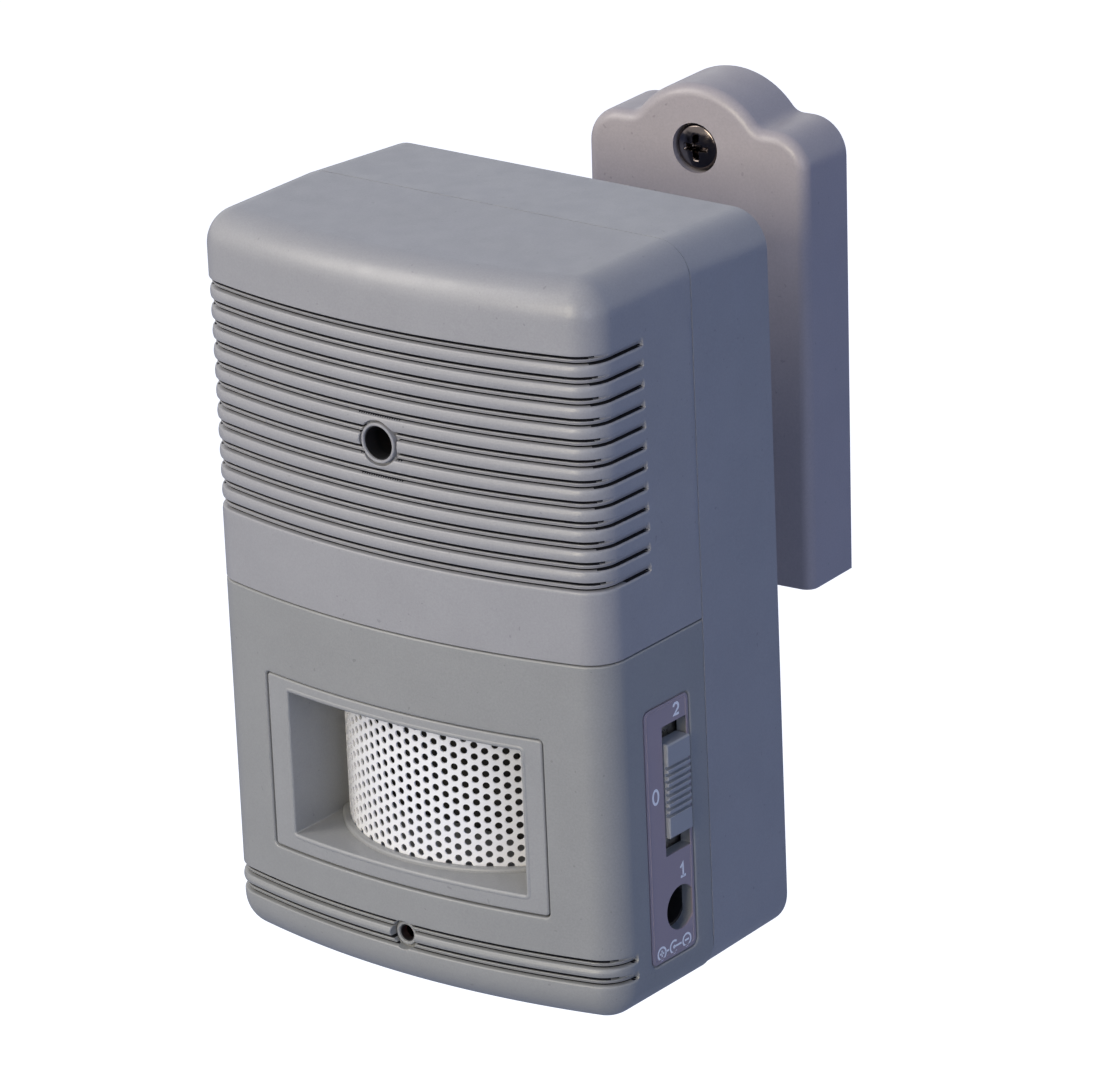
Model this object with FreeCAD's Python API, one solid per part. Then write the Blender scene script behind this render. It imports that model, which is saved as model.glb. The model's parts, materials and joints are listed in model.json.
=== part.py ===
import FreeCAD
import Part
import math
import os

# Motion sensor door chime on a swivelling wall plate
# The row's origin is the middle of the wall plate's back face: X right, the wall towards +Y, Z up.
# The chime itself is drawn in its own frame: x 0 its middle, y 0 its flat back, z 0 its underside,
# and is then placed at the swivel's two axes, turned as in the photograph.

os.makedirs("parts", exist_ok=True)

# Overall size of the chime's case
unit_width = 70.0
unit_height = 110.0
corner_depth = 41.2
front_bulge = 4.8
seam_depth = 19.0
split_height = 54.7
plan_corner_radius = 6.0
top_edge_radius = 5.5
base_edge_radius = 5.8
rear_side_draft = 0.67
rear_top_draft = 0.95
wall = 2.0
parting_gap = 0.3
lip_thickness = 1.1
lip_height = 2.2

# Clearances
slip = 0.15
screw_clearance = 0.05
pivot_clearance = 0.06

# Grooves round the front
groove_count = 12
groove_pitch = 3.0
top_groove_height = 99.25
groove_width = 1.25
groove_depth = 1.0
groove_mouth = 0.32
groove_reach = 11.1
base_groove_count = 2
base_groove_height = 9.55
base_groove_pitch = 2.65
base_groove_reach = 4.7

# Light port among the upper grooves, indicator port among the lower ones
light_port_height = 82.75
light_port_radius = 2.5
light_ring_radius = 3.5
indicator_height = 8.2
indicator_port_radius = 1.3
indicator_ring_radius = 2.4

# Sounder window and its curved perforated grille
window_margin = 14.3
window_base = 18.9
window_top = 40.8
bezel_border = 4.05
bezel_drop = 3.4
bezel_rise = 2.2
bezel_gap = 0.45
bezel_corner_radius = 1.2
bezel_flange = 1.5
tray_wall = 1.5
grille_bow = 3.1
grille_centre_depth = 18.5
grille_thickness = 0.6
hole_radius = 0.52
hole_pitch = 1.75
channel_width = 1.0
channel_height = 1.0

# Loudspeaker
speaker_margin = 15.0
speaker_rim = 1.0
speaker_depth = 9.0
magnet_radius = 11.0
magnet_thickness = 3.2
clamp_gap = 2.15
clamp_radius = 0.9
clamp_bite = 1.2
terminal_half_width = 5.5
cone_depth = 3.4
cone_skin = 0.4
cap_radius = 5.0
cap_rise = 1.3
baffle_thickness = 1.5
baffle_margin = 11.4
gasket_thickness = 0.8

# Side controls
panel_front_depth = 33.4
panel_back_depth = 22.6
panel_base = 6.3
panel_top = 45.4
panel_recess = 0.4
panel_thickness = 0.3
panel_corner_radius = 1.2
slot_width = 6.0
slot_length = 19.7
slot_height = 31.9
knob_width = 5.4
knob_length = 14.3
knob_stand_out = 0.5
knob_ridges = 8
knob_ridge_pitch = 1.15
switch_travel = 2.4
jack_height = 13.35
jack_depth = 26.1
jack_hole_radius = 3.3
jack_flat = 2.75
jack_bore_radius = 2.85
jack_pin_radius = 0.65
jack_width = 8.8
jack_length = 8.8
jack_tag = 2.0

# Main circuit board
board_margin = 12.0
board_base = 60.0
board_top = 104.0
board_depth = 27.6
board_thickness = 1.6
standoff_radius = 2.4
standoff_inset = 3.6

# Batteries, their tray and their sliding door
cell_radius = 7.1
spring_length = 5.25
cell_nub = 1.4
cell_pitch = 15.6
tray_thickness = 1.0
tray_margin = 5.7
tray_base = 4.9
tray_top = 38.7
tray_depth = 17.4
spring_wire = 0.6
spring_foot = 4.4
spring_tip = 3.0
contact_thickness = 0.4
door_margin = 7.7
door_top = 37.6
door_thickness = 1.8
door_tongue = 1.0
door_tongue_thickness = 0.8

# Screws
case_screw_margin = 7.5
case_screw_high = 101.0
case_screw_low = 47.0
case_screw_radius = 1.25
case_screw_length = 19.0
case_screw_sink = 8.0
case_boss_radius = 4.2
case_screw_head = 2.4
board_screw_hole = 1.05

# Swivel between the chime and the wall plate
pivot_height = 62.0
tilt_axis_offset = 8.0
knuckle_length = 11.0
pan_axis_offset = 22.6
arm_height = 22.7
ear_gap = 9.0
ear_thickness = 3.5
ear_radius = 5.0
foot_thickness = 2.0
foot_screw_offset = 9.0
foot_screw_radius = 1.25
foot_screw_length = 9.0
barrel_radius = 6.0
lug_gap = 9.0
lug_thickness = 4.0
pivot_screw_radius = 2.0
nut_thickness = 2.6
nut_across = 7.0
rest_pan = -4.46
rest_tilt = 1.37

# Wall plate
plate_width = 37.5
plate_height = 74.9
plate_depth = 11.6
plate_wall = 2.2
plate_arch_rise = 5.5
plate_shoulder_radius = 5.5
plate_arch_share = 0.336
plate_hollow_radius = 2.5
plate_edge_radius = 1.8
wall_screw_margin = 9.5
wall_screw_base = 8.4
wall_screw_radius = 1.9
wall_screw_neck_radius = 1.7
wall_screw_length = 25.0
wall_screw_head_radius = 3.3
counterbore_radius = 3.8
counterbore_depth = 2.9

# Sizes that follow
front_depth = corner_depth + front_bulge
front_radius = ((unit_width / 2) ** 2 + front_bulge ** 2) / (2 * front_bulge)
front_centre = front_radius - front_depth
inner_front = front_depth - wall
half_width = unit_width / 2
window_half_width = half_width - window_margin
grille_radius = window_half_width + grille_bow
speaker_radius = half_width - speaker_margin
clamp_circle = speaker_radius + clamp_gap
baffle_half_width = half_width - baffle_margin
board_width = unit_width - 2 * board_margin
tray_half_width = half_width - tray_margin
cell_length = 2 * (tray_half_width - tray_thickness - contact_thickness) - cell_nub - slip - spring_length
door_half_width = half_width - door_margin
case_screw_x = half_width - case_screw_margin
plate_shoulder = plate_height - plate_arch_rise
plate_arch_radius = plate_width * plate_arch_share
window_middle = (window_base + window_top) / 2
grille_back = grille_centre_depth + math.sqrt(grille_radius ** 2 - window_half_width ** 2)
baffle_front = grille_back
baffle_back = baffle_front - baffle_thickness
speaker_front = baffle_back - gasket_thickness
terminal_height = window_middle + speaker_radius - 2.2
terminal_face = -speaker_front + speaker_rim + 1.6
tray_middle = (tray_base + tray_top) / 2


def vec(x, y, z):
    return FreeCAD.Vector(x, y, z)


X_AXIS = vec(1, 0, 0)
Y_AXIS = vec(0, 1, 0)
Z_AXIS = vec(0, 0, 1)


def box(x0, x1, y0, y1, z0, z1):
    """Box between two corners."""
    return Part.makeBox(x1 - x0, y1 - y0, z1 - z0, vec(x0, y0, z0))


def rod(radius, start, direction, length):
    """Round bar from a point along a direction."""
    return Part.makeCylinder(radius, length, start, direction)


def tube(outer, inner, start, direction, length):
    """Round tube from a point along a direction."""
    return rod(outer, start, direction, length).cut(rod(inner, start, direction, length))


def join(solids):
    """One solid from touching or overlapping solids."""
    whole = solids[0]
    for solid in solids[1:]:
        whole = whole.fuse(solid)
    return whole.removeSplitter()


def group(solids):
    """Separate solids kept together in one node."""
    return Part.makeCompound(solids)


def arc(first, middle, last):
    return Part.Arc(first, middle, last).toShape()


def line(first, last):
    return Part.LineSegment(first, last).toShape()


def rounded_face(x0, x1, z0, z1, low_radius, high_radius, y):
    """Upright rectangle in the XZ plane with round corners, its lower and upper radii set apart."""
    k = 1 - math.sqrt(0.5)
    low, high = low_radius, high_radius
    edges = [
        line(vec(x0 + low, y, z0), vec(x1 - low, y, z0)),
        arc(vec(x1 - low, y, z0), vec(x1 - k * low, y, z0 + k * low), vec(x1, y, z0 + low)),
        line(vec(x1, y, z0 + low), vec(x1, y, z1 - high)),
        arc(vec(x1, y, z1 - high), vec(x1 - k * high, y, z1 - k * high), vec(x1 - high, y, z1)),
        line(vec(x1 - high, y, z1), vec(x0 + high, y, z1)),
        arc(vec(x0 + high, y, z1), vec(x0 + k * high, y, z1 - k * high), vec(x0, y, z1 - high)),
        line(vec(x0, y, z1 - high), vec(x0, y, z0 + low)),
        arc(vec(x0, y, z0 + low), vec(x0 + k * low, y, z0 + k * low), vec(x0 + low, y, z0)),
    ]
    return Part.Wire(edges)


def rounded_bar(x0, x1, y0, y1, z0, z1, radius):
    """Bar along Y with a round-cornered section."""
    face = Part.Face(rounded_face(x0, x1, z0, z1, radius, radius, y0))
    return face.extrude(vec(0, y1 - y0, 0))


def side_bar(x0, x1, y0, y1, z0, z1, radius):
    """Bar along X with a round-cornered section in the YZ plane."""
    bar = rounded_bar(y0, y1, -x1, -x0, z0, z1, radius)
    bar.rotate(vec(0, 0, 0), Z_AXIS, 90)
    return bar


# The case's outline seen from above, at an inset from the outer surface
def plan_edges(inset, back):
    """Side, corner arc, bowed front, corner arc and side, from the right to the left."""
    a = half_width - inset
    corner = plan_corner_radius - inset
    bow = front_radius - inset
    cx = half_width - plan_corner_radius
    cy = front_centre - math.sqrt((front_radius - plan_corner_radius) ** 2 - cx ** 2)
    lean = math.atan2(cx, front_centre - cy)
    sweep = (math.pi / 2 + lean) / 2

    def on_corner(side, angle):
        return vec(side * (cx + corner * math.sin(angle)), cy - corner * math.cos(angle), 0)

    edges = []
    edges.append(line(vec(a, back, 0), vec(a, cy, 0)))
    edges.append(arc(vec(a, cy, 0), on_corner(1, sweep), on_corner(1, lean)))
    edges.append(arc(on_corner(1, lean), vec(0, front_centre - bow, 0), on_corner(-1, lean)))
    edges.append(arc(on_corner(-1, lean), on_corner(-1, sweep), vec(-a, cy, 0)))
    edges.append(line(vec(-a, cy, 0), vec(-a, back, 0)))
    return edges


def plan_bar(inset, back, z0, z1):
    """Bar along Z with the case's plan, cut off flat at the given back."""
    edges = plan_edges(inset, back)
    a = half_width - inset
    edges.append(line(vec(-a, back, 0), vec(a, back, 0)))
    bar = Part.Face(Part.Wire(edges)).extrude(vec(0, 0, z1 - z0))
    bar.translate(vec(0, 0, z0))
    return bar


def front_form(inset):
    """The front half's rounded body at an inset: its upper and lower edges are filleted."""
    low = inset
    high = unit_height - inset
    body = plan_bar(inset, 0, low, high)

    def rim(z):
        found = []
        for edge in body.Edges:
            flat = abs(edge.BoundBox.ZMin - z) < 1e-4 and abs(edge.BoundBox.ZMax - z) < 1e-4
            if flat and edge.BoundBox.YMin < -1:
                found.append(edge)
        return found

    body = body.makeFillet(top_edge_radius - inset, rim(high))
    body = body.makeFillet(base_edge_radius - inset, rim(low))
    keep = box(-half_width - 1, half_width + 1, -front_depth - 1, -seam_depth, -1, unit_height + 1)
    return body.common(keep)


def case_section(inset, y, taper):
    """The case's section across Y at an inset, drawn in by the rear shell's draft."""
    a = half_width - inset - rear_side_draft * taper
    high = unit_height - inset - rear_top_draft * taper
    return rounded_face(-a, a, inset, high, base_edge_radius - inset, top_edge_radius - inset, y)


def case_bar(inset, y0, y1):
    """Straight bar along Y with the case's section at an inset."""
    return Part.Face(case_section(inset, y0, 0)).extrude(vec(0, y1 - y0, 0))


def lip_ring(low, high):
    """Ring inside the front covers' walls at a parting line across Z."""
    outer = plan_bar(wall + slip, -seam_depth - lip_height - parting_gap, low, high)
    return outer.cut(plan_bar(wall + lip_thickness, 0, low, high))


# Grooves
def groove_tool(height, reach):
    """A groove with a softly flared mouth, swept round the front from side to side."""
    start = -corner_depth + reach
    spine = Part.Wire(plan_edges(0, start))
    half = groove_width / 2
    mouth = half + groove_mouth
    out = half_width + 0.6
    face = half_width
    k = groove_mouth * (1 - math.sqrt(0.5))

    def at(x, z):
        return vec(x, start, z)

    profile = Part.Wire([
        line(at(out, -mouth), at(face, -mouth)),
        arc(at(face, -mouth), at(face - k, -half - k), at(face - groove_mouth, -half)),
        line(at(face - groove_mouth, -half), at(face - groove_depth, -half)),
        line(at(face - groove_depth, -half), at(face - groove_depth, half)),
        line(at(face - groove_depth, half), at(face - groove_mouth, half)),
        arc(at(face - groove_mouth, half), at(face - k, half + k), at(face, mouth)),
        line(at(face, mouth), at(out, mouth)),
        line(at(out, mouth), at(out, -mouth)),
    ])
    swept = spine.makePipeShell([profile], True, False)
    swept.translate(vec(0, 0, height))
    return swept


def cross_screw(head_radius, head_height, shank_radius, length):
    """Pan-head cross-recess screw along Y: the head's underside at y 0, the head towards -Y."""
    dome = (head_radius ** 2 + head_height ** 2) / (2 * head_height)
    head = Part.makeSphere(dome, vec(0, dome - head_height, 0))
    head = head.common(rod(head_radius, vec(0, -head_height - 0.1, 0), Y_AXIS, head_height + 0.1))
    blade = head_radius * 0.24
    arm = head_radius * 0.62
    sink = head_height * 0.72
    across = box(-arm, arm, -head_height - 1, -head_height + sink, -blade / 2, blade / 2)
    upright = box(-blade / 2, blade / 2, -head_height - 1, -head_height + sink, -arm, arm)
    head = head.cut(across).cut(upright)
    point = shank_radius * 2
    shank = rod(shank_radius, vec(0, 0, 0), Y_AXIS, length - point)
    tip = Part.makeCone(shank_radius, shank_radius * 0.15, point, vec(0, length - point, 0), Y_AXIS)
    return join([head, shank, tip])


# Front covers
def front_boss(x, z, hole_radius):
    """Screw boss from a front cover's inner face back to the seam, with a pilot hole."""
    boss = rod(3.0, vec(x, -seam_depth - parting_gap, z), -Y_AXIS, front_depth - seam_depth)
    boss = boss.common(plan_bar(wall - 0.6, 0, 0, unit_height))
    pilot = rod(hole_radius, vec(x, -seam_depth, z), -Y_AXIS, case_screw_length - seam_depth + case_screw_sink + 2)
    return boss, pilot


def make_upper_cover():
    shell = front_form(0).cut(front_form(wall))
    cut_y = -seam_depth - parting_gap / 2
    keep = box(-50, 50, -60, cut_y, split_height + parting_gap / 2, unit_height + 5)
    cover = shell.common(keep)
    grooves = []
    for index in range(groove_count):
        grooves.append(groove_tool(top_groove_height - index * groove_pitch, groove_reach))
    cover = cover.cut(group(grooves))
    ring = rod(light_ring_radius, vec(0, -front_depth, light_port_height), Y_AXIS, wall + 0.5)
    ring = ring.common(plan_bar(0.05, 0, 0, unit_height))
    additions = [cover, ring]
    pilots = []
    for side in (-1, 1):
        boss, pilot = front_boss(side * case_screw_x, case_screw_high, case_screw_radius + screw_clearance)
        additions.append(boss)
        pilots.append(pilot)
        for z in (board_base + standoff_inset, board_top - standoff_inset):
            x = side * (board_width / 2 - standoff_inset)
            post = rod(standoff_radius, vec(x, -board_depth, z), -Y_AXIS, front_depth - board_depth)
            additions.append(post.common(plan_bar(wall - 0.6, 0, 0, unit_height)))
            pilots.append(rod(board_screw_hole, vec(x, -board_depth + 0.1, z), -Y_AXIS, 8.0))
    cover = join(additions)
    port = rod(light_port_radius, vec(0, -front_depth - 1, light_port_height), Y_AXIS, wall + 3)
    cover = cover.cut(port)
    for pilot in pilots:
        cover = cover.cut(pilot)
    return cover


def bezel_outline(grow, y0, y1):
    """The window surround's outline, grown or shrunk, as a bar along Y."""
    return rounded_bar(
        -window_half_width - bezel_border - grow,
        window_half_width + bezel_border + grow,
        y0,
        y1,
        window_base - bezel_drop - grow,
        window_top + bezel_rise + grow,
        bezel_corner_radius + grow,
    )


def make_lower_cover():
    shell = front_form(0).cut(front_form(wall))
    cut_y = -seam_depth - parting_gap / 2
    keep = box(-50, 50, -60, cut_y, -5, split_height - parting_gap / 2)
    cover = shell.common(keep)
    grooves = []
    for index in range(base_groove_count):
        grooves.append(groove_tool(base_groove_height - index * base_groove_pitch, base_groove_reach))
    cover = cover.cut(group(grooves))
    ring = rod(indicator_ring_radius, vec(0, -front_depth, indicator_height), Y_AXIS, wall + 0.5)
    ring = ring.common(front_form(0.05))
    sleeve = rod(indicator_ring_radius + 0.8, vec(0, -inner_front, indicator_height), Y_AXIS, 5.0)
    lip_low = plan_bar(wall - 0.3, -seam_depth - lip_height - parting_gap, split_height - 3, split_height - 0.3)
    lip_low = lip_low.cut(plan_bar(wall + lip_thickness, 0, split_height - 3, split_height - 0.3))
    lip_high = lip_ring(split_height - 0.4, split_height + lip_height)
    additions = [cover, ring, sleeve, lip_low, lip_high]
    pilots = []
    for side in (-1, 1):
        boss, pilot = front_boss(side * case_screw_x, case_screw_low, case_screw_radius + screw_clearance)
        additions.append(boss)
        pilots.append(pilot)
    cover = join(additions)
    for pilot in pilots:
        cover = cover.cut(pilot)
    cover = cover.cut(rod(indicator_port_radius, vec(0, -front_depth - 1, indicator_height), Y_AXIS, wall + 2))
    cover = cover.cut(rod(led_radius + slip, vec(0, -inner_front + 0.6, indicator_height), Y_AXIS, 6.0))
    cover = cover.cut(bezel_outline(bezel_gap, -front_depth - 2, -inner_front + 8))
    recess = side_bar(half_width - panel_recess, half_width + 1, -panel_front_depth, -panel_back_depth,
                      panel_base, panel_top, panel_corner_radius)
    slot = box(half_width - wall - 1, half_width + 1, -jack_depth - slot_width / 2, -jack_depth + slot_width / 2,
               slot_height - slot_length / 2, slot_height + slot_length / 2)
    return cover.cut(recess).cut(slot).cut(jack_opening())


def jack_opening():
    """The jack's round opening in the side, with its one flat towards the back."""
    hole = rod(jack_hole_radius, vec(half_width - wall - 1, -jack_depth, jack_height), X_AXIS, wall + 2)
    flat = box(half_width - wall - 2, half_width + 2, -jack_depth + jack_flat, 0, 0, unit_height)
    return hole.cut(flat)


def make_window_tray():
    """Window surround, recess walls and the sounder's baffle in one moulding."""
    half = window_half_width
    front = bezel_outline(0, -front_depth - 1, -baffle_front + 6).common(plan_bar(0, 0, 0, unit_height))
    front = front.cut(plan_bar(wall + bezel_flange, 0, 0, unit_height))
    flange = bezel_outline(2.2, -front_depth - 1, -baffle_front + 6).common(plan_bar(wall + 0.1, 0, 0, unit_height))
    flange = flange.cut(plan_bar(wall + 0.1 + bezel_flange, 0, 0, unit_height))
    duct = box(-half - tray_wall, half + tray_wall, -front_depth, -baffle_front,
               window_base - tray_wall, window_top + tray_wall)
    duct = duct.common(plan_bar(wall, 0, 0, unit_height))
    baffle = rounded_bar(-baffle_half_width, baffle_half_width, -baffle_front, -baffle_back,
                         window_middle - baffle_half_width + 2, window_middle + baffle_half_width - 2, 6.0)
    body = join([front, flange, duct, baffle])
    opening = box(-half, half, -front_depth - 1, -baffle_front, window_base, window_top)
    body = body.cut(opening)
    mouth = box(-half, half, -baffle_front - 0.1, -baffle_back + 0.1, window_base, window_top)
    mouth = mouth.common(rod(speaker_radius - 2.2, vec(0, -baffle_front - 1, window_middle), Y_AXIS, 4))
    body = body.cut(mouth)
    for x, z in clamp_points():
        body = body.cut(rod(clamp_radius + screw_clearance, vec(x, -baffle_back - clamp_bite, z), Y_AXIS, 3))
    channel_outer = grille_radius + slip + channel_width
    ends = box(-half - 0.5, half + 0.5, -front_depth, -baffle_front + 0.1, window_base - 0.5, window_top + 0.5)
    channels = []
    for low in (window_base - 0.2, window_top - channel_height):
        channels.append(tube(channel_outer, grille_radius + slip, vec(0, -grille_centre_depth, low), Z_AXIS,
                             channel_height + 0.2).common(ends))
    return join([body] + channels)


def make_grille():
    """Curved sheet of flat strips, one for each column of holes, the columns staggered."""
    column_pitch = hole_pitch * math.sqrt(3) / 2
    inner_radius = grille_radius - grille_thickness
    reach = math.acos((grille_back + 0.03 - grille_centre_depth) / inner_radius)
    columns = int(reach * grille_radius / column_pitch - 0.5)
    step = column_pitch / grille_radius
    low = window_base + slip
    high = window_top - slip

    def at(radius, angle):
        return vec(radius * math.sin(angle), -grille_centre_depth - radius * math.cos(angle), low)

    angles = [-reach]
    for index in range(-columns, columns + 1):
        angles.append((index - 0.5) * step)
    angles.append((columns + 0.5) * step)
    angles.append(reach)
    outside = [at(grille_radius, angle) for angle in angles]
    inside = [at(inner_radius, angle) for angle in reversed(angles)]
    outline = Part.makePolygon(outside + inside + [outside[0]])
    sheet = Part.Face(outline).extrude(vec(0, 0, high - low))
    edge = hole_radius + 0.35
    holes = []
    for index in range(-columns, columns + 1):
        direction = vec(math.sin(index * step), -math.cos(index * step), 0)
        start = vec(0, -grille_centre_depth, 0) + direction * (grille_radius - 2)
        height = low + edge + (index % 2) * hole_pitch / 2
        while height < high - edge:
            holes.append(rod(hole_radius, start + vec(0, 0, height), direction, 3))
            height += hole_pitch
    return sheet.cut(group(holes))


# Loudspeaker
def clamp_points():
    points = []
    for angle in (35, 145, 215, 325):
        x = clamp_circle * math.cos(math.radians(angle))
        points.append((x, window_middle + clamp_circle * math.sin(math.radians(angle))))
    return points


def make_speaker_frame():
    """Dished steel basket: a flat rim, a cone wall and the seat of the magnet."""
    y = -speaker_front
    seat = -speaker_front + speaker_depth - magnet_thickness
    neck = y + speaker_rim
    rim = rod(speaker_radius, vec(0, y, window_middle), Y_AXIS, speaker_rim)
    dish = Part.makeCone(speaker_radius - 1.2, magnet_radius + 0.8, seat - neck, vec(0, neck, window_middle), Y_AXIS)
    mouth = rod(speaker_radius - 2.2, vec(0, y - 1, window_middle), Y_AXIS, speaker_rim + 1)
    hollow = Part.makeCone(speaker_radius - 2.2, magnet_radius, seat - neck - 0.8, vec(0, neck, window_middle), Y_AXIS)
    bore = rod(magnet_radius * 0.45, vec(0, y, window_middle), Y_AXIS, speaker_depth)
    tags = box(-terminal_half_width, terminal_half_width, neck - 0.2, terminal_face,
               terminal_height - 1.6, terminal_height + 1.6)
    return join([rim, dish, tags]).cut(mouth).cut(hollow).cut(bore)


def make_speaker_cone():
    """Paper cone with its flat edge and domed dust cap, one thin shell."""
    y = -speaker_front + 0.1
    edge = speaker_radius - 2.25
    rim = tube(edge, edge - 1.4, vec(0, y, window_middle), Y_AXIS, cone_skin)
    outer = Part.makeCone(edge - 0.9, cap_radius + 0.4, cone_depth, vec(0, y + cone_skin - 0.05, window_middle), Y_AXIS)
    inner = Part.makeCone(edge - 1.3, cap_radius, cone_depth, vec(0, y + cone_skin - 0.05, window_middle), Y_AXIS)
    dome = (cap_radius ** 2 + cap_rise ** 2) / (2 * cap_rise)
    centre = vec(0, y + cone_depth - cap_rise + dome, window_middle)
    ball = Part.makeSphere(dome, centre).cut(Part.makeSphere(dome - cone_skin, centre))
    cap = ball.common(rod(cap_radius + 0.2, vec(0, y, window_middle), Y_AXIS, cone_depth + cone_skin))
    return join([outer.cut(inner), rim, cap])


def make_speaker_magnet():
    y = -speaker_front + speaker_depth - magnet_thickness
    ring = tube(magnet_radius, 3.4, vec(0, y, window_middle), Y_AXIS, magnet_thickness)
    pole = rod(3.0, vec(0, y - 1.0, window_middle), Y_AXIS, magnet_thickness + 1.0)
    plate = rod(magnet_radius - 1.5, vec(0, y + magnet_thickness, window_middle), Y_AXIS, 0.8)
    return join([ring, pole, plate])


def make_speaker_gasket():
    outer = speaker_radius - 0.3
    return tube(outer, speaker_radius - 2.3, vec(0, -baffle_back, window_middle), Y_AXIS, gasket_thickness)


def make_speaker_clamps():
    """Four screws with wide washers that hold the rim to the baffle's back."""
    screws = []
    for x, z in clamp_points():
        washer_y = -speaker_front + speaker_rim
        washer = rod(3.2, vec(x, washer_y, z), Y_AXIS, 0.5)
        stem = rod(clamp_radius, vec(x, -baffle_back - clamp_bite, z), Y_AXIS, washer_y + baffle_back + clamp_bite)
        head = rod(1.7, vec(x, washer_y + 0.5, z), Y_AXIS, 1.1)
        slot = box(x - 1.3, x + 1.3, washer_y + 1.0, washer_y + 2.0, z - 0.25, z + 0.25)
        screws.append(join([washer, stem, head]).cut(slot))
    return group(screws)


# Side controls
def make_control_label():
    plate = side_bar(half_width - panel_recess, half_width - panel_recess + panel_thickness,
                     -panel_front_depth + slip, -panel_back_depth - slip,
                     panel_base + slip, panel_top - slip, panel_corner_radius - slip)
    slot = box(half_width - 2, half_width + 1, -jack_depth - slot_width / 2, -jack_depth + slot_width / 2,
               slot_height - slot_length / 2, slot_height + slot_length / 2)
    return plate.cut(slot).cut(jack_opening())


def make_switch_knob():
    """Sliding cap with a row of ridges between two plain ends, and the stem into the switch."""
    top = half_width + knob_stand_out
    base = half_width - wall + 0.15
    half = knob_length / 2
    cap = box(base, top, -jack_depth - knob_width / 2, -jack_depth + knob_width / 2,
              slot_height - half, slot_height + half)
    cap = cap.makeFillet(0.35, [e for e in cap.Edges if e.BoundBox.XMin > top - 1e-3])
    cuts = []
    for index in range(knob_ridges):
        z = slot_height + (index - (knob_ridges - 1) / 2) * knob_ridge_pitch
        cuts.append(box(top - 0.55, top + 1, -jack_depth - 4, -jack_depth + 4, z - 0.28, z + 0.28))
    stem = box(switch_face - 3.5, base, -jack_depth - 1.3, -jack_depth + 1.3, slot_height - 1.5, slot_height + 1.5)
    return join([cap.cut(group(cuts)), stem])


switch_face = half_width - wall - 0.6
switch_body_depth = 5.0
side_board_face = switch_face - switch_body_depth
side_board_thickness = 1.2


def make_switch_body():
    """Sheet-metal slide switch with a slot for the knob's stem, and its solder legs."""
    body = box(side_board_face, switch_face, -jack_depth - 3.4, -jack_depth + 3.4,
               slot_height - 10.2, slot_height + 10.2)
    reach = 1.5 + switch_travel + 0.3
    slot = box(switch_face - 4.0, switch_face + 1, -jack_depth - 1.45, -jack_depth + 1.45,
               slot_height - reach, slot_height + reach)
    body = body.cut(slot)
    legs = []
    for step in (-5.0, 0.0, 5.0):
        legs.append(box(side_board_face - side_board_thickness - 1.2, side_board_face + 0.2,
                        -jack_depth - 0.6, -jack_depth + 0.6, slot_height + step - 0.2, slot_height + step + 0.2))
    return join([body] + legs)


def make_side_board():
    """Small upright board that carries the switch."""
    x1 = side_board_face
    board = box(x1 - side_board_thickness, x1, -panel_front_depth + 1.5, -seam_depth - lip_height - 0.6,
                slot_height - 12.0, slot_height + 11.5)
    for step in (-5.0, 0.0, 5.0):
        board = board.cut(box(x1 - 3, x1 + 1, -jack_depth - 0.75, -jack_depth + 0.75,
                              slot_height + step - 0.35, slot_height + step + 0.35))
    return board


def make_dc_jack():
    """Moulded jack against the inside of the wall: a block with the plug's bore and two rear tags."""
    face = half_width - wall
    back = face - jack_length
    half = jack_width / 2
    body = box(back, face, -jack_depth - half, -jack_depth + half, jack_height - half, jack_height + half)
    body = body.cut(rod(jack_bore_radius, vec(back + 1.2, -jack_depth, jack_height), X_AXIS, jack_length))
    tags = []
    for step in (-2.4, 2.4):
        tags.append(box(back - jack_tag, back + 0.2, -jack_depth + step - 0.2, -jack_depth + step + 0.2,
                        jack_height - 1.0, jack_height + 1.0))
    body = join([body] + tags)
    return body.cut(rod(jack_pin_radius, vec(back - 0.5, -jack_depth, jack_height), X_AXIS, 3.0))


def make_jack_pin():
    """The jack's middle pin, seated in the block's back wall."""
    back = half_width - wall - jack_length
    return rod(jack_pin_radius, vec(back, -jack_depth, jack_height), X_AXIS, jack_length - 1.0)


# Main circuit board and what it carries
def board_points():
    points = []
    for side in (-1, 1):
        for z in (board_base + standoff_inset, board_top - standoff_inset):
            points.append((side * (board_width / 2 - standoff_inset), z))
    return points


def make_main_board():
    half = board_width / 2
    board = rounded_bar(-half, half, -board_depth, -board_depth + board_thickness, board_base, board_top, 1.0)
    for x, z in board_points():
        board = board.cut(rod(1.2, vec(x, -board_depth - 1, z), Y_AXIS, board_thickness + 2))
    return board


def make_board_screws():
    screws = []
    for x, z in board_points():
        screw = cross_screw(2.0, 1.3, 1.0, 7.0)
        screw.rotate(vec(0, 0, 0), Z_AXIS, 180)
        screw.translate(vec(x, -board_depth + board_thickness, z))
        screws.append(screw)
    return group(screws)


def make_photocell():
    """Light-dependent resistor: a disc on two legs, set back from the port."""
    y = -board_depth
    disc = rod(2.2, vec(0, y - 7.0, light_port_height), Y_AXIS, 2.0)
    left = rod(0.3, vec(-1.2, y - 5.1, light_port_height), Y_AXIS, 5.1)
    right = rod(0.3, vec(1.2, y - 5.1, light_port_height), Y_AXIS, 5.1)
    return join([disc, left, right])


def make_light_hood():
    """Black tube from the port's inner face to the board, which keeps stray light off the cell."""
    start = -front_depth + wall + 0.6
    return tube(light_port_radius + 1.2, light_port_radius, vec(0, start, light_port_height), Y_AXIS,
                -board_depth - start)


led_radius = 1.5
lamp_leg_end = 34.0


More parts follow.
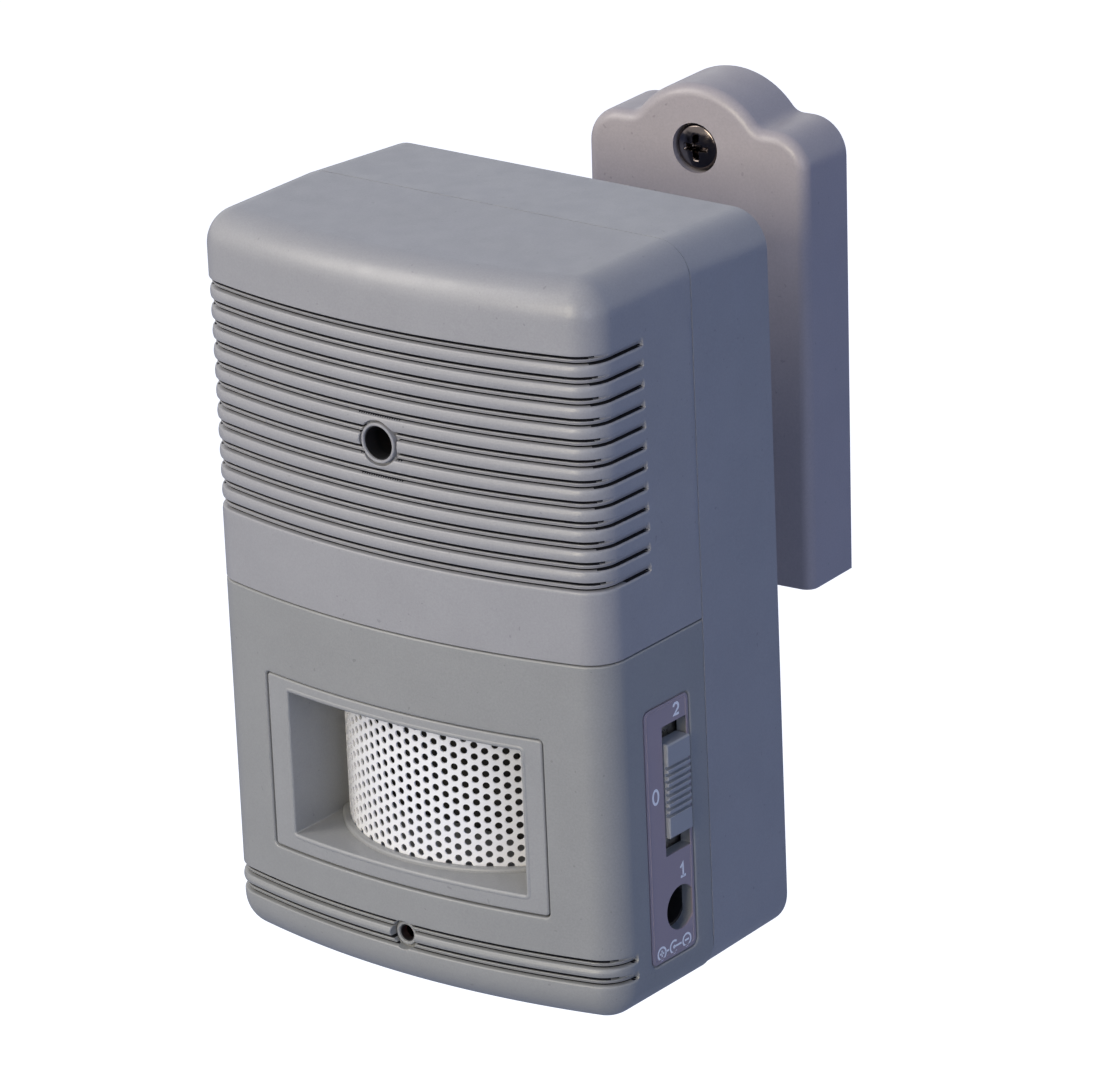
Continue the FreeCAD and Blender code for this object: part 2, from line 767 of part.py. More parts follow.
def make_indicator():
    """Small lamp behind the lower port, with its flange and two legs."""
    y = -inner_front + 0.8
    dome = Part.makeSphere(led_radius, vec(0, y + led_radius, indicator_height))
    dome = dome.common(box(-2, 2, y - 1, y + led_radius, indicator_height - 2, indicator_height + 2))
    body = rod(led_radius, vec(0, y + led_radius, indicator_height), Y_AXIS, 3.0)
    flange = rod(led_radius + 0.3, vec(0, y + led_radius + 3.0, indicator_height), Y_AXIS, 0.8)
    legs = []
    for x in (-0.65, 0.65):
        legs.append(box(x - 0.25, x + 0.25, y + 4.7, -lamp_leg_end, indicator_height - 0.25, indicator_height + 0.25))
    return join([dome, body, flange] + legs)


def make_melody_chip():
    """Eight-legged chip on the board's back."""
    y = -board_depth + board_thickness
    body = box(-5.0, 5.0, y + 0.6, y + 3.8, 79.0, 85.5)
    legs = []
    for index in range(4):
        x = (index - 1.5) * 2.54
        for z0, z1 in ((77.8, 79.2), (85.3, 86.7)):
            legs.append(box(x - 0.25, x + 0.25, y, y + 1.8, z0, z1))
    return join([body] + legs)


def make_capacitors():
    """Upright electrolytic cans on the board's back."""
    cans = []
    for x, z, radius, length in ((-14.0, 92.0, 3.1, 9.0), (13.5, 91.0, 2.5, 8.0), (13.5, 72.0, 2.5, 8.0)):
        cans.append(rod(radius, vec(x, -board_depth + board_thickness, z), Y_AXIS, length))
    return group(cans)


def make_resistors():
    """Small resistors lying on the board's back, each with its two bent legs."""
    y = -board_depth + board_thickness
    solids = []
    for x, z in ((-15.0, 70.0), (-15.0, 74.0), (-15.0, 78.0), (3.0, 70.0), (3.0, 74.0), (2.0, 92.0)):
        body = rod(1.1, vec(x - 3.0, y + 1.3, z), X_AXIS, 6.0)
        lead = box(x - 4.5, x + 4.5, y + 1.0, y + 1.6, z - 0.3, z + 0.3)
        feet = [box(x + end * 4.2 - 0.3, x + end * 4.2 + 0.3, y, y + 1.6, z - 0.3, z + 0.3) for end in (-1, 1)]
        solids.append(join([body, lead] + feet))
    return group(solids)


def make_transistors():
    """Two small drivers, each a half-round body on three legs."""
    y = -board_depth + board_thickness
    solids = []
    for x, z in ((-3.0, 99.5), (6.0, 99.5)):
        body = rod(2.3, vec(x, y + 2.0, z), Y_AXIS, 4.6)
        body = body.cut(box(x - 3, x + 3, y, y + 8, z + 1.4, z + 4))
        legs = []
        for step in (-1.27, 0.0, 1.27):
            legs.append(box(x + step - 0.22, x + step + 0.22, y, y + 2.2, z - 0.22, z + 0.22))
        solids.append(join([body] + legs))
    return group(solids)


# Rear shell, battery tray and door
def rear_boss(x, z):
    boss = rod(case_boss_radius, vec(x, -seam_depth, z), Y_AXIS, seam_depth - 1.0)
    bore = rod(case_screw_radius + 0.3, vec(x, -seam_depth - 1, z), Y_AXIS, seam_depth + 2)
    sink = rod(case_screw_head + 0.4, vec(x, -case_screw_sink, z), Y_AXIS, case_screw_sink + 2)
    return boss, bore, sink


def foot_screw_heights():
    return (pivot_height - foot_screw_offset, pivot_height + foot_screw_offset)


def make_pivot_bracket():
    """Foot screwed to the case's back, with two ears that carry the tilt axis."""
    reach = foot_screw_offset + 4.0
    half = ear_gap / 2 + ear_thickness
    foot = rounded_bar(-half - 1.5, half + 1.5, 0.0, foot_thickness, pivot_height - reach, pivot_height + reach, 2.0)
    solids = [foot]
    for x0 in (ear_gap / 2, -half):
        end = rod(ear_radius, vec(x0, tilt_axis_offset, pivot_height), X_AXIS, ear_thickness)
        side = Part.makePolygon([
            vec(x0, foot_thickness - 0.5, pivot_height - 8.5),
            vec(x0, tilt_axis_offset - 1.0, pivot_height - ear_radius + 0.1),
            vec(x0, tilt_axis_offset - 1.0, pivot_height + ear_radius - 0.1),
            vec(x0, foot_thickness - 0.5, pivot_height + 8.5),
            vec(x0, foot_thickness - 0.5, pivot_height - 8.5),
        ])
        solids.extend([end, Part.Face(side).extrude(vec(ear_thickness, 0, 0))])
    bracket = join(solids)
    for z in foot_screw_heights():
        bracket = bracket.cut(rod(foot_screw_radius + screw_clearance, vec(0, -1, z), Y_AXIS, foot_thickness + 2))
    tilt_bore = rod(pivot_screw_radius + pivot_clearance, vec(-20, tilt_axis_offset, pivot_height), X_AXIS, 40)
    return bracket.cut(tilt_bore)


def make_foot_screws():
    screws = []
    for z in foot_screw_heights():
        screw = cross_screw(2.4, 1.5, foot_screw_radius, foot_screw_length)
        screw.rotate(vec(0, 0, 0), Z_AXIS, 180)
        screw.translate(vec(0, foot_thickness, z))
        screws.append(screw)
    return group(screws)


def make_rear_housing():
    outer = Part.makeLoft([case_section(0, -seam_depth + parting_gap / 2, 0), case_section(0, 0, 1)], True, True)
    inner = Part.makeLoft([case_section(wall, -seam_depth - 0.5, 0), case_section(wall, -wall, 1)], True, True)
    shell = outer.cut(inner)
    lip_end = -seam_depth + 2.5
    lip_root = case_bar(wall - 0.4, -seam_depth + parting_gap / 2, lip_end)
    lip_root = lip_root.cut(case_bar(wall + lip_thickness, -seam_depth - 1, lip_end + 1))
    lip = case_bar(wall + slip, -seam_depth - lip_height, -seam_depth + 0.5)
    lip = lip.cut(case_bar(wall + lip_thickness, -seam_depth - lip_height - 1, lip_end + 1))
    additions = [shell, lip_root, lip]
    cuts = []
    for side in (-1, 1):
        for z in (case_screw_low, case_screw_high):
            boss, bore, sink = rear_boss(side * case_screw_x, z)
            additions.append(boss)
            cuts.extend([bore, sink])
    for z in foot_screw_heights():
        additions.append(rod(3.0, vec(0, -foot_screw_length, z), Y_AXIS, foot_screw_length - 1.0))
        cuts.append(rod(foot_screw_radius + screw_clearance, vec(0, -foot_screw_length - 1, z), Y_AXIS, 20))
    housing = join(additions)
    for tool in cuts:
        housing = housing.cut(tool)
    opening = box(-door_half_width - slip, door_half_width + slip, -wall - 0.2, 1, -1, door_top + slip)
    tongue_reach = door_half_width + door_tongue + 2 * slip
    track = box(-tongue_reach, tongue_reach, -wall - 0.2, -door_tongue_floor, -1, door_top - 1.2)
    return housing.cut(opening).cut(track)


door_face = 0.05
door_tongue_floor = 0.95


def make_battery_door():
    """Sliding door in the back's lower half: side tongues, a finger pad of ridges and a foot."""
    half = door_half_width
    plate = box(-half, half, -door_thickness, -door_face, 0.1, door_top)
    reach = half + door_tongue
    tongue_front = -door_tongue_floor - 0.05 - door_tongue_thickness
    tongues = box(-reach, reach, tongue_front, -door_tongue_floor - 0.05, 7.0, door_top - 2.4)
    door = join([plate, tongues])
    cuts = []
    for index in range(5):
        z = door_top - 8.0 + index * 1.4
        cuts.append(box(-8, 8, -door_face - 0.5, 1, z - 0.35, z + 0.35))
    return door.cut(group(cuts))


def make_battery_tray():
    """Open box behind the door with a wall between the two cells."""
    low, high = tray_base, tray_top
    half = tray_half_width
    back = -wall - 0.25
    outer = box(-half, half, -tray_depth, back, low, high)
    t = tray_thickness
    inner = box(-half + t, half - t, -tray_depth + t, back + 1, low + t, high - t)
    body = outer.cut(inner)
    rail = box(-half + 6, half - 6, -tray_depth + 0.5, -tray_depth + t + 3.5, tray_middle - 0.4, tray_middle + 0.4)
    return join([body, rail])


def cell_centre(index):
    """Depth and height of a cell's axis: the first lies below."""
    return -tray_depth + tray_thickness + cell_radius + slip, tray_middle + (index - 0.5) * cell_pitch


def make_cell(index):
    """Cell along X with its raised contact; the two lie head to tail."""
    y, z = cell_centre(index)
    direction = 1 if index == 0 else -1
    contact_end = tray_half_width - tray_thickness - contact_thickness - 0.1
    nub_tip = direction * contact_end
    start = nub_tip - direction * (cell_length + cell_nub)
    body = rod(cell_radius, vec(start, y, z), X_AXIS * direction, cell_length)
    rims = [e for e in body.Edges if e.Length > 10 and e.BoundBox.XLength < 1e-3]
    body = body.makeFillet(0.6, rims)
    nub = rod(2.7, vec(nub_tip - direction * (cell_nub + 0.2), y, z), X_AXIS * direction, cell_nub + 0.2)
    return join([body, nub])


def make_flat_contacts():
    """A pressed plate with a dimple for each cell's raised end."""
    plates = []
    for index in (0, 1):
        y, z = cell_centre(index)
        direction = 1 if index == 0 else -1
        face = direction * (tray_half_width - tray_thickness)
        inner = face - direction * contact_thickness
        plates.append(box(min(face, inner), max(face, inner), y - 5.0, y + 5.0, z - 4.5, z + 4.5))
    return group(plates)


def make_spring_contacts():
    """A plate for each cell's flat end, with its tapering spring as a plain thin sleeve."""
    springs = []
    length = spring_length
    for index in (0, 1):
        y, z = cell_centre(index)
        direction = 1 if index == 0 else -1
        face = -direction * (tray_half_width - tray_thickness)
        inner = face + direction * contact_thickness
        plate = box(min(face, inner), max(face, inner), y - 5.0, y + 5.0, z - 5.0, z + 5.0)
        foot = vec(inner - direction * 0.1, y, z)
        sleeve = Part.makeCone(spring_foot, spring_tip, length + 0.1, foot, X_AXIS * direction)
        hollow = Part.makeCone(spring_foot - spring_wire, spring_tip - spring_wire, length + 0.1, foot,
                               X_AXIS * direction)
        springs.append(join([plate, sleeve.cut(hollow)]))
    return group(springs)


def make_case_screws():
    screws = []
    for side in (-1, 1):
        for z in (case_screw_low, case_screw_high):
            screw = cross_screw(case_screw_head, 1.6, case_screw_radius, case_screw_length)
            screw.rotate(vec(0, 0, 0), Z_AXIS, 180)
            screw.translate(vec(side * case_screw_x, -case_screw_sink, z))
            screws.append(screw)
    return group(screws)


# Wires held inside the case
def wire_run(points, radius, bend):
    """Round wire along straight runs joined by tangent arcs."""
    edges = []
    start = points[0]
    for index in range(1, len(points) - 1):
        corner = points[index]
        before = (points[index - 1] - corner).normalize()
        after = (points[index + 1] - corner).normalize()
        turn = math.pi - before.getAngle(after)
        cut = bend * math.tan(turn / 2)
        enter = corner + before * cut
        leave = corner + after * cut
        inward = (before + after).normalize()
        centre = corner + inward * (bend / math.cos(turn / 2))
        edges.append(line(start, enter))
        edges.append(arc(enter, centre - inward * bend, leave))
        start = leave
    edges.append(line(start, points[-1]))
    spine = Part.Wire(edges)
    direction = (points[1] - points[0]).normalize()
    section = Part.Wire(Part.makeCircle(radius, points[0], direction))
    return spine.makePipeShell([section], True, False)


def make_speaker_wires():
    """Pair from the board's lower edge down to the loudspeaker's terminals."""
    wires = []
    for x in (-3.5, 3.5):
        wires.append(wire_run([
            vec(x, -board_depth + board_thickness, board_base + 3.0),
            vec(x, terminal_face + 5.0, board_base + 3.0),
            vec(x, terminal_face + 5.0, terminal_height),
            vec(x, terminal_face, terminal_height),
        ], 0.6, 2.2))
    return group(wires)


def make_lamp_wires():
    """Pair from the indicator's legs, under the baffle, up beside the loudspeaker to the board."""
    wires = []
    floor_height = 5.4
    for step in (-1, 1):
        x = 0.65 * step
        side = -speaker_radius - 3.2 + 0.6 * step
        depth = baffle_back - 5.2 + 0.7 * step
        height = board_base + 1.3 - 0.6 * step
        wires.append(wire_run([
            vec(x, -lamp_leg_end, indicator_height),
            vec(x, -lamp_leg_end + 2.2, indicator_height),
            vec(x, -lamp_leg_end + 2.2, floor_height),
            vec(x, -depth, floor_height),
            vec(side, -depth, floor_height),
            vec(side, -depth, height),
            vec(-14.5, -depth, height),
            vec(-14.5, -board_depth + board_thickness, height),
        ], 0.4, 1.0))
    return group(wires)


def make_battery_wires():
    """Pair from the board to the battery tray's upper wall."""
    wires = []
    for x in (11.0, 14.0):
        wires.append(wire_run([
            vec(x, -board_depth + board_thickness, board_base + 4.0),
            vec(x, -10.0, board_base + 4.0),
            vec(x, -10.0, tray_top),
        ], 0.6, 2.5))
    return group(wires)


def make_switch_wires():
    """Pair from the board down to the side board."""
    wires = []
    x_end = side_board_face - side_board_thickness
    x_turn = x_end - 5.7
    for step, x in enumerate((10.0, 12.0)):
        height = slot_height + 9.6 + step * -2.2
        wires.append(wire_run([
            vec(x, -board_depth + board_thickness, board_base + 3.0),
            vec(x, -seam_depth - 0.6, board_base + 3.0),
            vec(x, -seam_depth - 0.6, height + 8.0),
            vec(x_turn, -seam_depth - 3.6, height + 8.0),
            vec(x_turn, -seam_depth - 3.6, height),
            vec(x_end, -seam_depth - 3.6, height),
        ], 0.5, 1.5))
    return group(wires)


# Swivel
def make_knuckle():
    """Upright barrel on the wall plate's pin and a level barrel on the chime's, joined by a neck.

    Drawn in the chime's frame: the level barrel is on the tilt axis.
    """
    half = lug_gap / 2 - pivot_clearance * 2
    pan_y = tilt_axis_offset + knuckle_length
    upright = rod(barrel_radius, vec(0, pan_y, pivot_height - half), Z_AXIS, 2 * half)
    side = ear_gap / 2 - pivot_clearance * 2
    level = rod(ear_radius - 0.3, vec(-side, tilt_axis_offset, pivot_height), X_AXIS, 2 * side)
    neck = box(-3.6, 3.6, tilt_axis_offset, pan_y, pivot_height - 3.6, pivot_height + 3.6)
    body = join([upright, level, neck])
    body = body.cut(rod(pivot_screw_radius + pivot_clearance, vec(0, pan_y, pivot_height - 20), Z_AXIS, 40))
    return body.cut(rod(pivot_screw_radius + pivot_clearance, vec(-20, tilt_axis_offset, pivot_height), X_AXIS, 40))


def pivot_screw(grip):
    """Cross-recess machine screw along Y with its head's underside at y 0, and its nut's place."""
    length = grip + nut_thickness + 0.6
    screw = cross_screw(3.6, 2.2, pivot_screw_radius, length + 2 * pivot_screw_radius)
    return screw.cut(box(-5, 5, length, length + 20, -5, 5))


def hex_nut(y):
    corner = nut_across / math.sqrt(3)
    points = []
    for index in range(7):
        angle = math.radians(60 * index)
        points.append(vec(corner * math.cos(angle), y, corner * math.sin(angle)))
    nut = Part.Face(Part.makePolygon(points)).extrude(vec(0, nut_thickness, 0))
    return nut.cut(rod(pivot_screw_radius + screw_clearance, vec(0, y - 1, 0), Y_AXIS, nut_thickness + 2))


def along_x(shape, sign):
    """Turn a piece drawn along Y so that it lies along X at the tilt axis."""
    shape.rotate(vec(0, 0, 0), Z_AXIS, -90 * sign)
    return shape


def make_tilt_screw():
    grip = ear_gap + 2 * ear_thickness
    screw = pivot_screw(grip)
    along_x(screw, -1)
    screw.translate(vec(grip / 2, tilt_axis_offset, pivot_height))
    return screw


def make_tilt_nut():
    grip = ear_gap + 2 * ear_thickness
    nut = hex_nut(grip)
    along_x(nut, -1)
    nut.translate(vec(grip / 2, tilt_axis_offset, pivot_height))
    return nut


# Wall plate, drawn upright with its back at y 0 and its lower edge at z 0
def plate_wire(inset, y):
    """Outline with a sharp base, rounded shoulders, hollow corners and a raised arch, at an inset."""
    a = plate_width / 2 - inset
    zs = plate_shoulder - inset
    rs = plate_shoulder_radius - inset
    rh = plate_hollow_radius + inset
    ra = plate_arch_radius - inset
    zc = plate_height - plate_arch_radius
    xf_z = plate_shoulder + plate_hollow_radius
    xf = math.sqrt((plate_arch_radius + plate_hollow_radius) ** 2 - (xf_z - zc) ** 2)
    tangent = math.atan2(xf_z - zc, xf)
    k = math.sqrt(0.5)
    half_turn = (tangent + math.pi / 2) / 2
    xs = plate_width / 2 - plate_shoulder_radius
    zsc = plate_shoulder - plate_shoulder_radius

    def at(x, z):
        return vec(x, y, z)

    def hollow(side, angle):
        return at(side * (xf - rh * math.cos(angle)), xf_z - rh * math.sin(angle))

    edges = [
        line(at(-a, inset), at(a, inset)),
        line(at(a, inset), at(a, zsc)),
        arc(at(a, zsc), at(xs + rs * k, zsc + rs * k), at(xs, zs)),
        line(at(xs, zs), at(xf, zs)),
        arc(at(xf, zs), hollow(1, half_turn), hollow(1, tangent)),
        arc(hollow(1, tangent), at(0, zc + ra), hollow(-1, tangent)),
        arc(hollow(-1, tangent), hollow(-1, half_turn), at(-xf, zs)),
        line(at(-xf, zs), at(-xs, zs)),
        arc(at(-xs, zs), at(-xs - rs * k, zsc + rs * k), at(-a, zsc)),
        line(at(-a, zsc), at(-a, inset)),
    ]
    return Part.Wire(edges)


def wall_screw_heights():
    return (plate_height - wall_screw_margin, wall_screw_base)


def make_wall_plate():
    body = Part.Face(plate_wire(0, -plate_depth)).extrude(vec(0, plate_depth, 0))
    rim = [e for e in body.Edges if e.BoundBox.YMax < -plate_depth + 1e-3 and e.BoundBox.ZMax > 1e-3]
    body = body.makeFillet(plate_edge_radius, rim)
    hollow = Part.Face(plate_wire(plate_wall, -plate_depth + plate_wall)).extrude(vec(0, plate_depth, 0))
    shell = body.cut(hollow)
    additions = [shell]
    inside = Part.Face(plate_wire(0.5, -plate_depth + 1)).extrude(vec(0, plate_depth - 1, 0))
    for z in wall_screw_heights():
        boss = rod(counterbore_radius + 1.6, vec(0, -plate_depth + 1, z), Y_AXIS, plate_depth - 1)
        additions.append(boss.common(inside))
    rib = box(-0.9, 0.9, -plate_depth + 1, -0.6, plate_wall - 0.5, plate_height - plate_wall + 0.5)
    additions.append(rib.common(inside))
    pan_y = -pan_axis_offset
    for low in (arm_height + lug_gap / 2, arm_height - lug_gap / 2 - lug_thickness):
        arm = box(-barrel_radius, barrel_radius, pan_y, -plate_depth + 0.5, low, low + lug_thickness)
        additions.append(arm)
        additions.append(rod(barrel_radius, vec(0, pan_y, low), Z_AXIS, lug_thickness))
    plate = join(additions)
    for z in wall_screw_heights():
        plate = plate.cut(rod(wall_screw_radius + 0.2, vec(0, -plate_depth - 1, z), Y_AXIS, plate_depth + 2))
        plate = plate.cut(rod(counterbore_radius, vec(0, -plate_depth - 1, z), Y_AXIS, counterbore_depth + 1))
    return plate.cut(rod(pivot_screw_radius + pivot_clearance, vec(0, pan_y, 0), Z_AXIS, 60))


def make_wall_screws():
    """Two wall screws, each with a plain neck inside the plate and its full thickness beyond it."""
    screws = []
    neck = plate_depth - counterbore_depth + 0.3
    waste = tube(wall_screw_radius + 1, wall_screw_neck_radius, vec(0, 0, 0), Y_AXIS, neck)
    for z in wall_screw_heights():
        screw = cross_screw(wall_screw_head_radius, 2.3, wall_screw_radius, wall_screw_length).cut(waste)
        screw.translate(vec(0, -plate_depth + counterbore_depth, z))
        screws.append(screw)
    return group(screws)


def make_pan_screw():
    grip = lug_gap + 2 * lug_thickness
    screw = pivot_screw(grip)
    screw.rotate(vec(0, 0, 0), X_AXIS, -90)
    screw.translate(vec(0, -pan_axis_offset, arm_height + grip / 2))
    return screw


def make_pan_nut():
    grip = lug_gap + 2 * lug_thickness
    nut = hex_nut(grip)
    nut.rotate(vec(0, 0, 0), X_AXIS, -90)
    nut.translate(vec(0, -pan_axis_offset, arm_height + grip / 2))
    return nut


# Placing: the wall plate stands square, the knuckle is panned, the chime is panned and tilted
plate_place = FreeCAD.Placement(vec(0, 0, -plate_height / 2), FreeCAD.Rotation())
pan_point = vec(0, -pan_axis_offset, arm_height - plate_height / 2)
pan_turn = FreeCAD.Rotation(Z_AXIS, rest_pan)
tilt_turn = FreeCAD.Rotation(X_AXIS, rest_tilt)
knuckle_pivot = vec(0, tilt_axis_offset + knuckle_length, pivot_height)
tilt_pivot = vec(0, tilt_axis_offset, pivot_height)
knuckle_place = FreeCAD.Placement(pan_point - pan_turn.multVec(knuckle_pivot), pan_turn)
tilt_point = knuckle_place.multVec(tilt_pivot)
unit_turn = pan_turn.multiply(tilt_turn)
unit_place = FreeCAD.Placement(tilt_point - unit_turn.multVec(tilt_pivot), unit_turn)


def save(name, shape, placement):
    """Place a piece in the row's frame and write it."""
    placed = shape.copy()
    placed.transformShape(placement.toMatrix(), True)
    placed.exportStep("parts/" + name + ".step")
    print(name, len(placed.Solids), placed.isValid(), round(placed.Volume, 2))


unit_pieces = {
    "upper_front_cover": make_upper_cover(),
    "lower_front_cover": make_lower_cover(),
    "window_tray": make_window_tray(),
    "sounder_grille": make_grille(),
    "speaker_gasket": make_speaker_gasket(),
    "speaker_frame": make_speaker_frame(),
    "speaker_cone": make_speaker_cone(),
    "speaker_magnet": make_speaker_magnet(),
    "speaker_clamp_screws": make_speaker_clamps(),
    "control_label": make_control_label(),
    "switch_knob": make_switch_knob(),
    "switch_body": make_switch_body(),
    "side_board": make_side_board(),
    "dc_jack": make_dc_jack(),
    "dc_jack_pin": make_jack_pin(),
    "main_board": make_main_board(),
    "board_screws": make_board_screws(),
    "photocell": make_photocell(),
    "light_hood": make_light_hood(),
    "indicator_lamp": make_indicator(),
    "melody_chip": make_melody_chip(),
    "capacitors": make_capacitors(),
    "resistors": make_resistors(),
    "transistors": make_transistors(),
    "rear_housing": make_rear_housing(),
    "battery_door": make_battery_door(),
    "pivot_bracket": make_pivot_bracket(),
    "foot_screws": make_foot_screws(),
    "battery_tray": make_battery_tray(),
    "lower_cell": make_cell(0),
    "upper_cell": make_cell(1),
    "flat_contacts": make_flat_contacts(),
    "spring_contacts": make_spring_contacts(),
    "case_screws": make_case_screws(),
    "speaker_wires": make_speaker_wires(),
    "lamp_wires": make_lamp_wires(),
    "battery_wires": make_battery_wires(),
    "switch_wires": make_switch_wires(),
    "tilt_screw": make_tilt_screw(),
    "tilt_nut": make_tilt_nut(),
}

for piece_name, piece in unit_pieces.items():
    save(piece_name, piece, unit_place)

save("swivel_knuckle", make_knuckle(), knuckle_place)

plate_pieces = {
    "wall_plate": make_wall_plate(),
    "wall_screws": make_wall_screws(),
    "pan_screw": make_pan_screw(),
    "pan_nut": make_pan_nut(),
}

for piece_name, piece in plate_pieces.items():
    save(piece_name, piece, plate_place)

print("pan point", pan_point, "tilt point", tilt_point)
print("tilt axis", pan_turn.multVec(X_AXIS), "chime's up", unit_turn.multVec(Z_AXIS))
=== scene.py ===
"""Looks of a motion sensor door chime on its swivelling wall plate.

The chime is drawn in its own frame in millimetres, x to its right, y towards the wall and z up from its
underside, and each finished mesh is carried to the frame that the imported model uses, in metres.
"""
import json
import logging
import math
from dataclasses import dataclass, field, replace
from enum import Enum
from typing import Callable

import bmesh
import bpy
import numpy as np
from mathutils import Matrix, Vector
from mathutils.geometry import delaunay_2d_cdt


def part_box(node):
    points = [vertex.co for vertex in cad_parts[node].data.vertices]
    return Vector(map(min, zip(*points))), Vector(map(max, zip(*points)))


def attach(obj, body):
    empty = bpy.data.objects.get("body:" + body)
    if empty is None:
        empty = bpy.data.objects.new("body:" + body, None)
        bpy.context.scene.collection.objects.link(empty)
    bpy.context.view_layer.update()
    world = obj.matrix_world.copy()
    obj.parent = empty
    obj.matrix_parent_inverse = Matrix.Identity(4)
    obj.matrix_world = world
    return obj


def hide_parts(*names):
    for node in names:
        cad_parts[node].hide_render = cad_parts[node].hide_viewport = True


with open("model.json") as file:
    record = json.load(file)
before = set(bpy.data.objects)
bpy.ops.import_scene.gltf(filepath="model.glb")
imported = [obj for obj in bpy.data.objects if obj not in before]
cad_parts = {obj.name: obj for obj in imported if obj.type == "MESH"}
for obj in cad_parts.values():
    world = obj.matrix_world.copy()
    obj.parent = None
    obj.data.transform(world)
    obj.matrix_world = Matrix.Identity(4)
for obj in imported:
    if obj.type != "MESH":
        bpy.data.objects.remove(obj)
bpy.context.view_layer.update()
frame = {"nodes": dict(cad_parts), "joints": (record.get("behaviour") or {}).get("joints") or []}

logging.basicConfig(level=logging.INFO, format="%(message)s")
log = logging.getLogger("door_chime")

Colour = tuple[float, float, float]
Box = tuple[float, float, float, float]
Loop = Callable[[float], np.ndarray]

MERGE = 2e-6  # metres within which two points are one


class Body(Enum):
    """The rigid bodies that pieces ride on."""

    WALL = "wall_mount"
    CHIME = "chime"
    KNOB = "volume_knob"


def smoothstep(low: float, high: float, value: np.ndarray) -> np.ndarray:
    """Rises from 0 at low to 1 at high as 3t^2 - 2t^3, where t runs from 0 to 1 between them.

    Args:
        low: Where the rise starts; it may be above high, and the curve then falls.
        high: Where it ends.
        value: The places to work it out at.

    Returns:
        The values, as an array of the same shape.
    """
    t = np.clip((np.asarray(value, float) - low) / (high - low), 0.0, 1.0)
    return t * t * (3.0 - 2.0 * t)


@dataclass(frozen=True)
class Placement:
    """Where the chime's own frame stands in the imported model's frame, read from its joints."""

    tilt_depth: float = 8.0
    tilt_height: float = 62.0

    def matrix(self) -> np.ndarray:
        """The 4x4 matrix from the chime's millimetres to metres.

        Its x axis is the tilt axis, its z axis is the knob's sliding direction and y is z cross x; the
        origin lies tilt_depth in front of the tilt axis and tilt_height below it.

        Returns:
            A 4x4 array.
        """
        joints = {joint["name"]: joint for joint in frame["joints"]}
        x = np.array(joints["tilt_swivel"]["axis"], float)
        z = np.array(joints["volume_slide"]["axis"], float)
        y = np.cross(z, x)
        pivot = np.array(joints["tilt_swivel"]["pos_m"], float)
        turned = np.eye(4)
        turned[:3, :3] = np.column_stack([x, y, z]) * 1e-3
        turned[:3, 3] = pivot - (y * self.tilt_depth + z * self.tilt_height) * 1e-3
        return turned

    def carry(self, points: np.ndarray) -> np.ndarray:
        """Points of the chime, in millimetres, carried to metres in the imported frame."""
        whole = self.matrix()
        return np.asarray(points, float) @ whole[:3, :3].T + whole[:3, 3]


PLACE = Placement()


